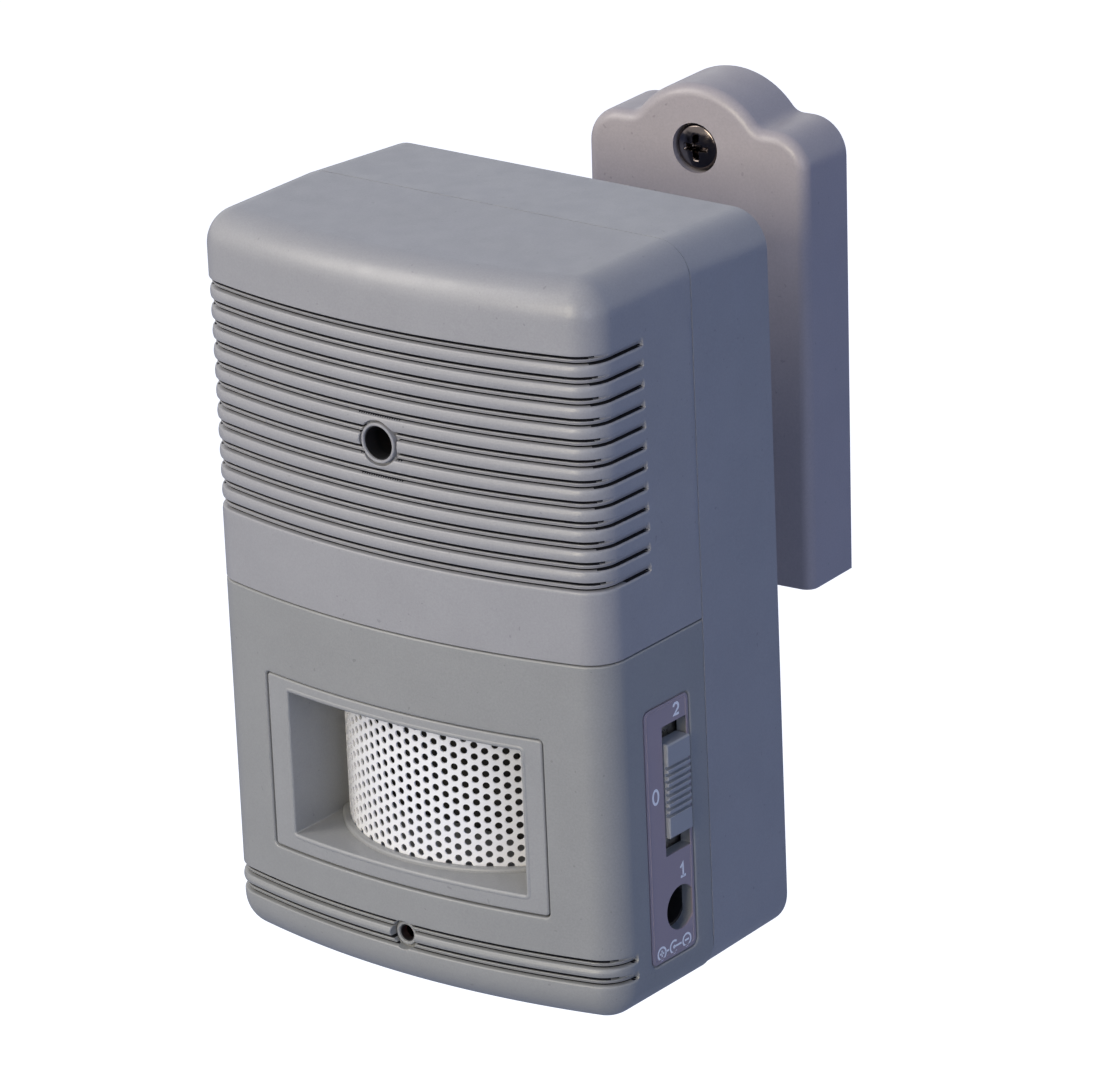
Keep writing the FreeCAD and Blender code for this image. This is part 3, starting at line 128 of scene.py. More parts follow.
class Patchwork:
    """A mesh gathered from grids, strips and flat fills, in the chime's frame in millimetres."""

    def __init__(self) -> None:
        """Starts with no points and no faces."""
        self.points: list[np.ndarray] = []
        self.faces: list[tuple[int, ...]] = []
        self.dark: list[bool] = []
        self.count = 0

    def add(self, points: np.ndarray, faces: np.ndarray | list, dark: np.ndarray | bool = False) -> None:
        """Adds points with faces that count from the first of them.

        Args:
            points: An (n, 3) array.
            faces: Rows of indices into it.
            dark: Which faces take the second finish, the painted shade of deep slots.
        """
        self.dark.extend(np.broadcast_to(dark, len(faces)).tolist())
        base = self.count
        self.points.append(np.asarray(points, float).reshape(-1, 3))
        self.faces.extend(tuple(int(i) + base for i in face) for face in faces)
        self.count += len(self.points[-1])

    def grid(self, points: np.ndarray, keep: np.ndarray | None = None, flip: bool = False,
             close: bool = False, dark: np.ndarray | bool = False) -> None:
        """Adds the quads of a grid of points.

        Args:
            points: A (rows, columns, 3) array.
            keep: A (rows - 1, columns - 1) mask of the quads to keep; with close, one more column.
            flip: Turns the quads to face the other way.
            close: Joins the last column to the first.
            dark: Which quads take the second finish, the painted shade of deep slots, shaped like keep.
        """
        rows, columns = points.shape[:2]
        index = np.arange(rows * columns).reshape(rows, columns)
        if close:
            index = np.concatenate([index, index[:, :1]], axis=1)
        quads = np.stack([index[:-1, :-1], index[:-1, 1:], index[1:, 1:], index[1:, :-1]], axis=-1)
        shades = np.broadcast_to(dark, quads.shape[:2])
        keep = np.ones(quads.shape[:2], bool) if keep is None else keep
        quads = quads[keep]
        if flip:
            quads = quads[:, ::-1]
        self.add(points, quads.tolist(), shades[keep])

    def loop_fill(self, loop: np.ndarray, flip: bool = False) -> None:
        """Adds one flat face on a closed loop of points, an (n, 3) array."""
        self.add(loop, [range(len(loop))[::-1 if flip else 1]])

    def flat_fill(self, loops: list[np.ndarray], lift: Callable[[np.ndarray], np.ndarray],
                  flip: bool = False) -> None:
        """Fills the first of several plane loops, leaving out the others, which are holes in it.

        The loops are triangulated in their plane, and lift carries the plane's points into space.

        Args:
            loops: Arrays of plane points, (n, 2) each: the outline, then the holes.
            lift: Turns (n, 2) plane points into (n, 3) points.
            flip: Turns the triangles to face the other way.
        """
        edges = []
        for loop in loops:
            n, start = len(loop), len(edges)
            edges.extend((start + i, start + (i + 1) % n) for i in range(n))
        plane, triangles = triangulate([p for loop in loops for p in loop.tolist()], edges)
        middle = plane[triangles].mean(axis=1)
        wanted = inside(loops[0], middle)
        for hole in loops[1:]:
            wanted &= ~inside(hole, middle)
        triangles = triangles[wanted]
        a, b, c = (plane[triangles[:, i]] for i in range(3))
        turned = (b - a)[:, 0] * (c - a)[:, 1] - (b - a)[:, 1] * (c - a)[:, 0] < 0
        triangles[turned] = triangles[turned][:, ::-1]
        if flip:
            triangles = triangles[:, ::-1]
        self.add(lift(plane), triangles.tolist())

    def build(self, name: str, finish: "Finish", body: Body, replaces: tuple[str, ...] = (),
              sharp: float = 32.0, closed: bool = True, second: "Finish | None" = None,
              carry: Callable[[np.ndarray], np.ndarray] | None = None) -> bpy.types.Object:
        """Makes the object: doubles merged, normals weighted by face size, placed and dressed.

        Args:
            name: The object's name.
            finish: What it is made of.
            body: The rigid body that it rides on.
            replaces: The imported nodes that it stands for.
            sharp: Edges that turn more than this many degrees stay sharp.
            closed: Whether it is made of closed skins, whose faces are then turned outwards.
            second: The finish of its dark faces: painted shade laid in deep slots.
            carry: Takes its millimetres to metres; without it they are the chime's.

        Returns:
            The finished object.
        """
        mesh = bpy.data.meshes.new(name)
        mesh.from_pydata((carry or PLACE.carry)(np.concatenate(self.points)).tolist(), [], self.faces)
        for kind in (finish, second) if second else (finish,):
            mesh.materials.append(kind.material())
        if second:
            mesh.polygons.foreach_set("material_index", np.array(self.dark, np.int32))
        work = bmesh.new()
        work.from_mesh(mesh)
        bmesh.ops.remove_doubles(work, verts=work.verts, dist=MERGE)
        bmesh.ops.dissolve_degenerate(work, edges=work.edges, dist=MERGE / 2)
        if closed:
            bmesh.ops.recalc_face_normals(work, faces=work.faces)
        work.to_mesh(mesh)
        work.free()
        mesh.validate()
        mesh.shade_smooth()
        mesh.set_sharp_from_angle(angle=math.radians(sharp))
        made = bpy.data.objects.new(name, mesh)
        bpy.context.scene.collection.objects.link(made)
        made.modifiers.new("even normals", "WEIGHTED_NORMAL").keep_sharp = True
        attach(made, body.value)
        if replaces:
            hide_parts(*replaces)
        log.info("%s: %d faces", name, len(mesh.polygons))
        return made


def triangulate(points: list[tuple[float, float]], edges: list[tuple[int, int]]) -> tuple[np.ndarray, np.ndarray]:
    """Delaunay triangles of plane points, which keep the given edges.

    Args:
        points: The plane points.
        edges: Pairs of indices into them.

    Returns:
        The points that the triangles use, (n, 2), and the triangles, (m, 3).
    """
    found = delaunay_2d_cdt([Vector(p) for p in points], edges, [], 1, 1e-9)
    return np.array([tuple(v) for v in found[0]]), np.array(found[2], int)


def inside(loop: np.ndarray, points: np.ndarray) -> np.ndarray:
    """Which plane points lie inside a closed loop, by the parity of the edges to their right.

    Args:
        loop: The loop's corners, (n, 2).
        points: The points to try, (m, 2).

    Returns:
        A mask of m booleans.
    """
    a = loop[None, :, :]
    b = np.roll(loop, -1, axis=0)[None, :, :]
    p = points[:, None, :]
    spans = (a[..., 1] > p[..., 1]) != (b[..., 1] > p[..., 1])
    rise = np.where(spans, b[..., 1] - a[..., 1], 1.0)
    cross = a[..., 0] + (p[..., 1] - a[..., 1]) * (b[..., 0] - a[..., 0]) / rise
    return (np.sum(spans & (p[..., 0] < cross), axis=1) % 2).astype(bool)


def rounded_loop(x0: float, x1: float, z0: float, z1: float, radius: float, along: int = 24,
                 up: int = 12, corner: int = 6) -> np.ndarray:
    """A rectangle with round corners as points in order, starting at the foot of its right side.

    Each side is a straight run of even steps, and each corner a quarter circle.

    Args:
        x0: Left side.
        x1: Right side.
        z0: Lower side.
        z1: Upper side.
        radius: Radius of the corners.
        along: Steps along the lower and upper sides.
        up: Steps along the left and right sides.
        corner: Steps round each corner.

    Returns:
        An (n, 2) array of points.
    """
    r = max(radius, 1e-4)
    turn = np.linspace(0.0, math.pi / 2, corner + 1)[1:-1]
    c, s = np.cos(turn), np.sin(turn)
    runs = [
        (x1, np.linspace(z0 + r, z1 - r, up + 1)), (x1 - r + r * c, z1 - r + r * s),
        (np.linspace(x1 - r, x0 + r, along + 1), z1), (x0 + r - r * s, z1 - r + r * c),
        (x0, np.linspace(z1 - r, z0 + r, up + 1)), (x0 + r - r * c, z0 + r - r * s),
        (np.linspace(x0 + r, x1 - r, along + 1), z0), (x1 - r + r * s, z0 + r - r * c),
    ]
    return np.concatenate([np.stack(np.broadcast_arrays(x, z), 1) for x, z in runs])


def circle_loop(x: float, z: float, radius: float, steps: int = 48) -> np.ndarray:
    """A circle about (x, z) as (steps, 2) points."""
    turn = np.arange(steps) * 2 * math.pi / steps
    return np.stack([x + radius * np.cos(turn), z + radius * np.sin(turn)], 1)


# Finishes
class Pattern(Enum):
    """How a finish's relief is drawn; each value is the number of octaves in its noise."""

    GRAIN = 3.0
    FIBRE = 6.0
    BOARD = 2.0


class Tree:
    """A node tree that takes each node with its settings, its inputs' values and its links in one call."""

    def __init__(self, tree: bpy.types.NodeTree) -> None:
        """Empties the tree."""
        tree.nodes.clear()
        self.tree = tree

    def add(self, kind: str, inputs: dict[str | int, object] | None = None, **settings: object) -> bpy.types.Node:
        """Adds a node.

        Args:
            kind: The node's type.
            inputs: For each input that isn't left alone, its value or the socket that feeds it.
            settings: The node's own properties.

        Returns:
            The node.
        """
        node = self.tree.nodes.new(kind)
        for key, value in settings.items():
            setattr(node, key, value)
        for key, value in (inputs or {}).items():
            if isinstance(value, bpy.types.NodeSocket):
                self.tree.links.new(value, node.inputs[key])
            else:
                node.inputs[key].default_value = value
        return node

    def noise(self, place: bpy.types.NodeSocket, size: float, detail: float) -> bpy.types.NodeSocket:
        """The socket of a noise whose features have a size in millimetres, with octaves of finer noise."""
        return self.add("ShaderNodeTexNoise", {"Vector": place, "Scale": 1000.0 / size, "Detail": detail,
                                               "Roughness": 0.55}).outputs["Fac"]


@dataclass(frozen=True)
class Finish:
    """What a surface is made of, as colour, gloss, relief and wear; sizes are in millimetres."""

    name: str
    slot: str
    colour: Colour
    roughness: float = 0.5
    metallic: float = 0.0
    specular: float = 0.5
    grain: float = 0.25
    relief: float = 0.004
    mottle: float = 0.03
    cloud: float = 9.0
    uneven: float = 0.06
    specks: float = 0.0
    coat: float = 0.0
    pattern: Pattern = Pattern.GRAIN
    fine: float = 0.28
    speck_size: float = 0.7
    cells: float = 6.25

    def tone(self, share: float) -> tuple[float, float, float, float]:
        """The colour times a share, none of it above white."""
        return (*(min(c * share, 1.0) for c in self.colour), 1.0)

    def material(self) -> bpy.types.Material:
        """The finish's material, made once and then shared.

        The colour is the written one times a slow cloud of noise, with rare dark specks; the roughness
        wanders with another; and the relief is a bump from fine noise.

        Returns:
            The material.
        """
        found = bpy.data.materials.get(self.name)
        if found:
            return found
        made = bpy.data.materials.new(self.name)
        made.use_nodes = True
        made.diffuse_color = (*self.colour, 1.0)
        tree = Tree(made.node_tree)
        place = tree.add("ShaderNodeTexCoord").outputs["Object"]
        shader = tree.add("ShaderNodeBsdfPrincipled", {
            "Base Color": self.tint(tree, place), "Roughness": self.gloss(tree, place),
            "Normal": self.bump(tree, place), "Metallic": self.metallic, "Specular IOR Level": self.specular,
            "Coat Weight": self.coat, "Coat Roughness": 0.12})
        tree.add("ShaderNodeOutputMaterial", {"Surface": shader.outputs["BSDF"]})
        return made

    def tint(self, tree: Tree, place: bpy.types.NodeSocket) -> bpy.types.NodeSocket:
        """The colour socket: two neighbouring tones mixed by a cloud and fine grain, then specks laid over."""
        both = tree.add("ShaderNodeMix", {"Factor": 0.6, "A": tree.noise(place, self.cloud, 5.0),
                                          "B": tree.noise(place, self.fine, 1.0)})
        ramp = tree.add("ShaderNodeValToRGB", {"Fac": both.outputs["Result"]})
        low, high = ramp.color_ramp.elements
        low.position, high.position = 0.3, 0.7
        low.color, high.color = self.tone(1.0 - self.mottle), self.tone(1.0 + self.mottle)
        socket = ramp.outputs["Color"]
        if self.pattern is Pattern.BOARD:
            socket = self.tracks(tree, place, socket)
        if self.specks:
            pick = tree.add("ShaderNodeMapRange", {"Value": tree.noise(place, self.speck_size, 0.0),
                                                   "From Min": 0.83, "From Max": 0.86, "To Max": self.specks})
            socket = tree.add("ShaderNodeMix", {"Factor": pick.outputs["Result"], "A": socket, "B": self.tone(0.35)},
                              data_type="RGBA").outputs["Result"]
        return socket

    def tracks(self, tree: Tree, place: bpy.types.NodeSocket, under: bpy.types.NodeSocket) -> bpy.types.NodeSocket:
        """Lighter bands under lacquer: the edges of large square cells."""
        cells = tree.add("ShaderNodeTexVoronoi", {"Vector": place, "Scale": 1000.0 / self.cells},
                         distance="CHEBYCHEV", feature="F1")
        band = tree.add("ShaderNodeValToRGB", {"Fac": cells.outputs["Distance"]})
        band.color_ramp.interpolation = "CONSTANT"
        copper, bare = band.color_ramp.elements
        bare.position = 0.42
        copper.color, bare.color = self.tone(1.7), self.tone(1.0)
        return tree.add("ShaderNodeMix", {"Factor": 0.5, "A": under, "B": band.outputs["Color"]},
                        data_type="RGBA").outputs["Result"]

    def gloss(self, tree: Tree, place: bpy.types.NodeSocket) -> bpy.types.NodeSocket:
        """The roughness socket: the written value, wandering by uneven to each side."""
        return tree.add("ShaderNodeMapRange", {
            "Value": tree.noise(place, self.cloud * 0.35, 4.0), "From Min": 0.3, "From Max": 0.7,
            "To Min": max(self.roughness - self.uneven, 0.02),
            "To Max": min(self.roughness + self.uneven, 1.0)}).outputs["Result"]

    def bump(self, tree: Tree, place: bpy.types.NodeSocket) -> bpy.types.NodeSocket:
        """The normal socket: a bump whose height is the relief."""
        return tree.add("ShaderNodeBump", {"Height": tree.noise(place, self.grain, self.pattern.value),
                                           "Strength": 1.0, "Distance": self.relief * 1e-3}).outputs["Normal"]


def srgb(red: int, green: int, blue: int) -> Colour:
    """Linear colour of an eight-bit display colour, by the usual curve."""
    v = np.array([red, green, blue]) / 255.0
    linear = np.where(v <= 0.04045, v / 12.92, ((v + 0.055) / 1.055) ** 2.4)
    return (float(linear[0]), float(linear[1]), float(linear[2]))


PLASTIC = Finish("grained grey plastic", "case_plastic", srgb(154, 154, 156), roughness=0.36, specular=0.5,
                 grain=0.24, relief=0.018, mottle=0.07, uneven=0.05, specks=0.3)
# Painted shade: a darker copy of the case plastic for the lower cover, where the light falls off towards the bottom.
LOWER_PLASTIC_PAINTED_SHADE = replace(PLASTIC, name="grained grey plastic, painted lower shade", colour=srgb(145, 146, 145))
# Painted light: a copy of the case plastic, lighter than the lower cover's, for the light that the sill and jambs
# catch.
TRAY_PLASTIC_PAINTED_LIGHT = replace(PLASTIC, name="grained grey plastic, painted tray light", colour=srgb(150, 151, 151))
# Partly painted light: a lighter copy of the case plastic that brightens the plate's front; its warmer tint is the
# plate's own.
PLATE_PLASTIC_PAINTED_LIGHT = replace(PLASTIC, name="grained warm plastic, painted plate light", colour=srgb(170, 163, 164))
# Painted shade: a near-black finish laid on the grooves' deepest faces, standing in for the shade that falls in them.
PAINTED_SLOT_SHADE = Finish("painted shade for deep slots", "case_plastic", srgb(40, 40, 45), roughness=0.6, specular=0.1, grain=0.2,
              relief=0.004, mottle=0.05)
LABEL = Finish("satin label plastic", "label_plastic", srgb(160, 148, 154), roughness=0.38, specular=0.4, grain=0.2,
               relief=0.004, mottle=0.02)
KNOB = Finish("smooth knob plastic", "case_plastic", srgb(158, 160, 162), roughness=0.36, grain=0.2,
              relief=0.002, mottle=0.02)
LETTER = Finish("white printing ink", "label_plastic", srgb(250, 250, 250), roughness=0.45, grain=0.15,
                relief=0.001, mottle=0.02)
ENAMEL = Finish("white grille enamel", "grille_paint", srgb(240, 240, 240), roughness=0.34, grain=0.3,
                relief=0.003, mottle=0.02, uneven=0.04)
BLACK = Finish("black plastic", "black_plastic", srgb(28, 28, 30), roughness=0.45, grain=0.25, relief=0.004)
# Painted shade: steel darkened to stand in for the dark surroundings that the screw heads mirror.
CHROME_PAINTED_SHADE = Finish("screw steel, darkened as painted shade", "bright_steel", srgb(104, 96, 94), roughness=0.14, metallic=1.0,
                grain=0.5, relief=0.003, uneven=0.08, cloud=2.0)
ZINC = Finish("zinc-plated steel", "plated_steel", srgb(176, 178, 182), roughness=0.34, metallic=1.0,
              grain=0.4, relief=0.003, uneven=0.1, cloud=3.0)
CERAMIC = Finish("light cell ceramic", "cell_ceramic", srgb(196, 110, 70), roughness=0.4, grain=0.3)
LENS = Finish("red lamp resin", "lamp_lens", srgb(120, 30, 34), roughness=0.2, coat=0.4, grain=0.6, relief=0.001)
FOAM = Finish("black foam", "foam", srgb(40, 40, 42), roughness=0.95, grain=0.4, relief=0.12,
              pattern=Pattern.FIBRE)
PAPER = Finish("cone paper", "paper", srgb(52, 50, 48), roughness=0.9, grain=0.5, relief=0.04,
               pattern=Pattern.FIBRE)
MAGNET = Finish("ferrite", "magnet", srgb(58, 58, 60), roughness=0.6, grain=0.3, relief=0.01)
CIRCUIT = Finish("green circuit board", "circuit_board", srgb(38, 92, 60), roughness=0.35, coat=0.3,
                 grain=0.8, relief=0.01, pattern=Pattern.BOARD)
CAN = Finish("capacitor sleeve", "can_sleeve", srgb(36, 42, 74), roughness=0.35, grain=0.4)
RESISTOR = Finish("resistor lacquer", "resistor_body", srgb(188, 160, 118), roughness=0.4, grain=0.4)
CELL = Finish("battery jacket", "cell_jacket", srgb(54, 66, 96), roughness=0.32, grain=0.5, relief=0.002)
WIRE = Finish("wire insulation", "wire_insulation", srgb(150, 44, 40), roughness=0.45, grain=0.4)

NODE_FINISH: dict[str, Finish] = {
    # The wall plate's finish is lightened as painted light, and the screws' steel is darkened as painted shade.
    "wall_plate": PLATE_PLASTIC_PAINTED_LIGHT, "wall_screws": CHROME_PAINTED_SHADE, "pan_screw": ZINC, "pan_nut": ZINC,
    "swivel_knuckle": PLASTIC, "tilt_screw": ZINC, "tilt_nut": ZINC, "pivot_bracket": PLASTIC,
    "foot_screws": ZINC, "rear_housing": PLASTIC, "upper_front_cover": PLASTIC, "lower_front_cover": PLASTIC,
    "window_tray": PLASTIC, "sounder_grille": ENAMEL, "control_label": LABEL, "case_screws": ZINC,
    "light_hood": BLACK, "photocell": CERAMIC, "indicator_lamp": LENS, "speaker_gasket": FOAM,
    "speaker_frame": ZINC, "speaker_cone": PAPER, "speaker_magnet": MAGNET, "speaker_clamp_screws": ZINC,
    "main_board": CIRCUIT, "board_screws": ZINC, "melody_chip": BLACK, "capacitors": CAN,
    "resistors": RESISTOR, "transistors": BLACK, "side_board": CIRCUIT, "switch_body": ZINC,
    "switch_knob": KNOB, "dc_jack": BLACK, "dc_jack_pin": CHROME_PAINTED_SHADE, "battery_tray": BLACK,
    "lower_cell": CELL, "upper_cell": CELL, "flat_contacts": ZINC, "spring_contacts": ZINC,
    "battery_door": PLASTIC, "speaker_wires": WIRE, "lamp_wires": WIRE, "battery_wires": WIRE,
    "switch_wires": WIRE,
}


def dress_nodes() -> None:
    """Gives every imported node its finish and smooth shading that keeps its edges."""
    for name, node in frame["nodes"].items():
        node.data.materials.clear()
        node.data.materials.append(NODE_FINISH[name].material())
        node.data.shade_smooth()
        merge = node.modifiers.new("merge doubles", "WELD")
        merge.merge_threshold = MERGE
        split = node.modifiers.new("keep edges", "EDGE_SPLIT")
        split.split_angle = math.radians(28)
        node.modifiers.new("even normals", "WEIGHTED_NORMAL")
    log.info("packed nodes dressed: %d", len(frame["nodes"]))


# The case's outer skin
@dataclass(frozen=True)
class CasePlan:
    """The case seen from above: a bowed front, two round corners and two straight sides.

    A place on it is u, the distance along the outline from the middle of the front, positive to the right.
    """

    half_width: float = 34.96
    corner: float = 5.4
    bow: float = 130.0042
    centre: float = 84.0042
    seam: float = -18.88

    @property
    def corner_x(self) -> float:
        """The x of the right corner's centre."""
        return self.half_width - self.corner

    @property
    def corner_y(self) -> float:
        """The y of both corners' centres, where the corner touches the bow from within."""
        return self.centre - math.sqrt((self.bow - self.corner) ** 2 - self.corner_x ** 2)

    @property
    def lean(self) -> float:
        """Angle that the bow turns through from its middle to a corner."""
        return math.atan2(self.corner_x, self.centre - self.corner_y)

    @property
    def bow_length(self) -> float:
        """Distance u at which the bow meets a corner."""
        return self.bow * self.lean

    @property
    def side_start(self) -> float:
        """Distance u at which a corner meets its straight side."""
        return self.bow_length + self.corner * (math.pi / 2 - self.lean)

    @property
    def seam_u(self) -> float:
        """Distance u of the seam with the rear housing."""
        return self.u_on_side(self.seam)

    def u_on_front(self, x: np.ndarray | float) -> np.ndarray:
        """The u of an x on the bow: radius times the arc sine of x over the radius."""
        return self.bow * np.arcsin(np.asarray(x, float) / self.bow)

    def u_on_side(self, y: np.ndarray | float) -> np.ndarray | float:
        """The u of a y on the right side."""
        return self.side_start + (y - self.corner_y)

    def at(self, u: np.ndarray) -> tuple[np.ndarray, np.ndarray]:
        """Points of the outline and its outward directions.

        The direction turns evenly along the bow, faster round the corner, and not along the side; the
        point lies a radius from the bow's or the corner's centre, or on the side.

        Args:
            u: Distances along the outline.

        Returns:
            Two arrays of (x, y), one row for each u.
        """
        u = np.asarray(u, float)
        side = np.where(u < 0, -1.0, 1.0)
        far = np.abs(u)
        round_corner = self.lean + (far - self.bow_length) / self.corner
        turn = np.where(far <= self.bow_length, far / self.bow, np.minimum(round_corner, math.pi / 2))
        s, c = np.sin(turn), np.cos(turn)
        on_bow = far <= self.bow_length
        x = np.where(on_bow, self.bow * s, self.corner_x + self.corner * s)
        y = np.where(on_bow, self.centre - self.bow * c, self.corner_y - self.corner * c)
        y = y + np.maximum(far - self.side_start, 0.0)
        return np.stack([side * x, y], -1), np.stack([side * s, -c], -1)

    def lift(self, plane: np.ndarray, sink: float | np.ndarray = 0.0) -> np.ndarray:
        """Points of the upright wall from (u, z), each sunk below the surface by a depth."""
        spot, normal = self.at(plane[..., 0])
        flat = spot - normal * np.broadcast_to(sink, plane.shape[:-1])[..., None]
        return np.concatenate([flat, plane[..., 1:2]], axis=-1)

    def to_front(self, flat: np.ndarray) -> np.ndarray:
        """Places (x, z) of the front as (u, z)."""
        return np.stack([self.u_on_front(flat[:, 0]), flat[:, 1]], 1)

    def front_loop(self, box: Box, corner: float, grow: float) -> np.ndarray:
        """A round-cornered box (x0, x1, z0, z1) of the front as (u, z), grown by a distance."""
        x0, x1, z0, z1 = box
        return self.to_front(rounded_loop(x0 - grow, x1 + grow, z0 - grow, z1 + grow, corner + grow, 44, 20))

    def side_loop(self, box: Box, corner: float, grow: float) -> np.ndarray:
        """A round-cornered box (y0, y1, z0, z1) of the right side as (u, z), grown by a distance."""
        y0, y1, z0, z1 = box
        return rounded_loop(self.u_on_side(y0) - grow, self.u_on_side(y1) + grow, z0 - grow, z1 + grow,
                            corner + grow, 10, 24)


PLAN = CasePlan()


def round_over(radius: float, distance: np.ndarray) -> np.ndarray:
    """Depth of a rounded edge at a distance from its end: r minus the root of r^2 - (r - d)^2."""
    d = np.clip(distance, 0.0, radius)
    return radius - np.sqrt(np.maximum(radius ** 2 - (radius - d) ** 2, 0.0))


@dataclass
class Rows:
    """The rows of a cover from below.

    Each is a height, an inset, a tilt of the normal, a depth on the front, a depth on the sides, a share
    of the ribs' inset, and how much earlier the groove ends there.
    """

    table: list[tuple[float, ...]] = field(default_factory=list)

    def plain(self, z: float, inset: float = 0.0, tilt: float = 0.0) -> None:
        """Adds a row without a groove."""
        self.table.append((z, inset, tilt, 0.0, 0.0, 0.0, 0.0))

    def column(self, index: int) -> np.ndarray:
        """One of the seven values for every row."""
        return np.array(self.table)[:, index]

    def calm(self) -> np.ndarray:
        """Which rows lie outside every groove, as a mask; the plain inner skin has only these."""
        return self.column(4) == 0.0


@dataclass
class Groove:
    """A groove between ribs: lit lower lip, low slot, ledge with a bead, and a deep slot above it.

    On the front the bead stands between two slots whose deep faces are painted dark as shade; on the sides the bead
    and the upper slot run out into a slope that falls to the lower slot. A groove's row that isn't sunk on the sides
    still has a mark there, a depth too small to see, by which plain rows are told from it.
    """

    low: float = -0.93
    high: float = 0.85
    end_radius: float = 0.78
    crown: float = 0.15
    mark: float = 1e-6
    run_out: float = 0.22

    def profile(self) -> np.ndarray:
        """Rows of (distance above the middle, depth on the front, depth on the sides), from below."""
        return np.array([
            (-0.93, 0.0, 0.0), (-0.79, 0.038, 0.038), (-0.69, 0.14, 0.14), (-0.65, 0.28, 0.28),
            (-0.62, 0.80, 0.90), (-0.60, 1.10, 1.30), (-0.56, 1.20, 1.40), (-0.38, 1.20, 1.40),
            (-0.35, 1.10, 1.10), (-0.32, 0.54, 0.58), (-0.12, 0.48, 0.46), (-0.02, 0.40, 0.40),
            (0.06, 0.36, 0.34), (0.14, 0.41, 0.28), (0.20, 0.56, 0.24), (0.24, 1.60, 0.21),
            (0.28, 1.70, 0.18), (0.60, 1.70, 0.07), (0.66, 1.60, 0.05), (0.70, 0.16, 0.04),
            (0.72, 0.07, 0.03), (0.77, 0.02, 0.015), (0.85, 0.0, 0.0),
        ])

    def rows(self, height: float, below: float, above: float) -> list[tuple[float, ...]]:
        """The rows of one groove.

        The rib share passes evenly from the one below to the one above. A groove's end is a half circle,
        so a row ends earlier by r - sqrt(r^2 - d^2), where d is its distance from the groove's middle.

        Args:
            height: The groove's middle.
            below: Share of the rib inset under the groove.
            above: Share of the rib inset over it.

        Returns:
            Rows from below.
        """
        made = []
        middle = (self.low + self.high) / 2
        for d, front, side in self.profile().tolist():
            t = min(max((d + 0.3) / 0.6, 0.0), 1.0)
            off = min(abs(d - middle) * 0.85, self.end_radius)
            short = self.end_radius - math.sqrt(self.end_radius ** 2 - off ** 2)
            made.append((height + d, 0.0, 0.0, front, side or self.mark, below + (above - below) * t, short))
        return made

    def rib(self, start: float, end: float) -> list[tuple[float, ...]]:
        """The rows of a rib between two grooves, whose face bulges by the crown as a parabola."""
        return [(start + (end - start) * t, 0.0, 0.0, -self.crown * (1 - (2 * t - 1) ** 2), 0.0, 1.0, 0.0)
                for t in (0.2, 0.4, 0.6, 0.8)]

    def mask(self, u: np.ndarray, end: np.ndarray | float) -> np.ndarray:
        """How much of the groove there is: none beyond its end, all of it from the run-out's length before it."""
        return smoothstep(0.0, self.run_out, end - np.abs(u))


@dataclass(frozen=True)
class Port:
    """A round port: a short tube standing in a round recess of the skin."""

    height: float
    recess: float
    floor: float
    tube: float
    bore: float
    top: float

    def ring(self, radius: float, turn: np.ndarray) -> np.ndarray:
        """Places (u, z) at a radius and at angles round the port."""
        return np.stack([radius * np.cos(turn), self.height + radius * np.sin(turn)], 1)

    def loops(self, turn: np.ndarray, depth: np.ndarray, wall: float) -> np.ndarray:
        """The port's surface as loops of points from the skin's edge down, up over the tube and in.

        Args:
            turn: The angle of each point round the port.
            depth: How deep the skin lies at the recess's edge, at each angle.
            wall: Depth where the bore ends.

        Returns:
            An array (loops, points, 3).
        """
        edge = [(self.recess, depth), (self.recess - 0.03, depth + 0.03), (self.recess - 0.1, depth + 0.1),
                (self.recess - 0.1, np.maximum(self.floor, depth + 0.12))]
        tube = [(self.tube, self.floor), (self.tube, self.top + 0.16), (self.tube - 0.04, self.top + 0.06),
                (self.tube - 0.12, self.top), (self.bore + 0.12, self.top), (self.bore + 0.04, self.top + 0.06),
                (self.bore, self.top + 0.16), (self.bore, wall)]
        return np.stack([PLAN.lift(self.ring(radius, turn), np.broadcast_to(deep, turn.shape))
                         for radius, deep in edge + tube])

    def liner(self, name: str, end: float) -> None:
        """Builds the black tube that lines the bore, from just under its edge to a depth."""
        patch = Patchwork()
        turn = np.arange(48) * math.pi / 24
        outer, inner, start = self.bore - 0.03, self.bore - 0.15, self.top + 0.3
        section = ((outer, start), (outer, end), (inner, end), (inner, start), (outer, start))
        patch.grid(np.stack([PLAN.lift(self.ring(radius, turn), deep) for radius, deep in section]), close=True)
        patch.build(name, BLACK, Body.CHIME)


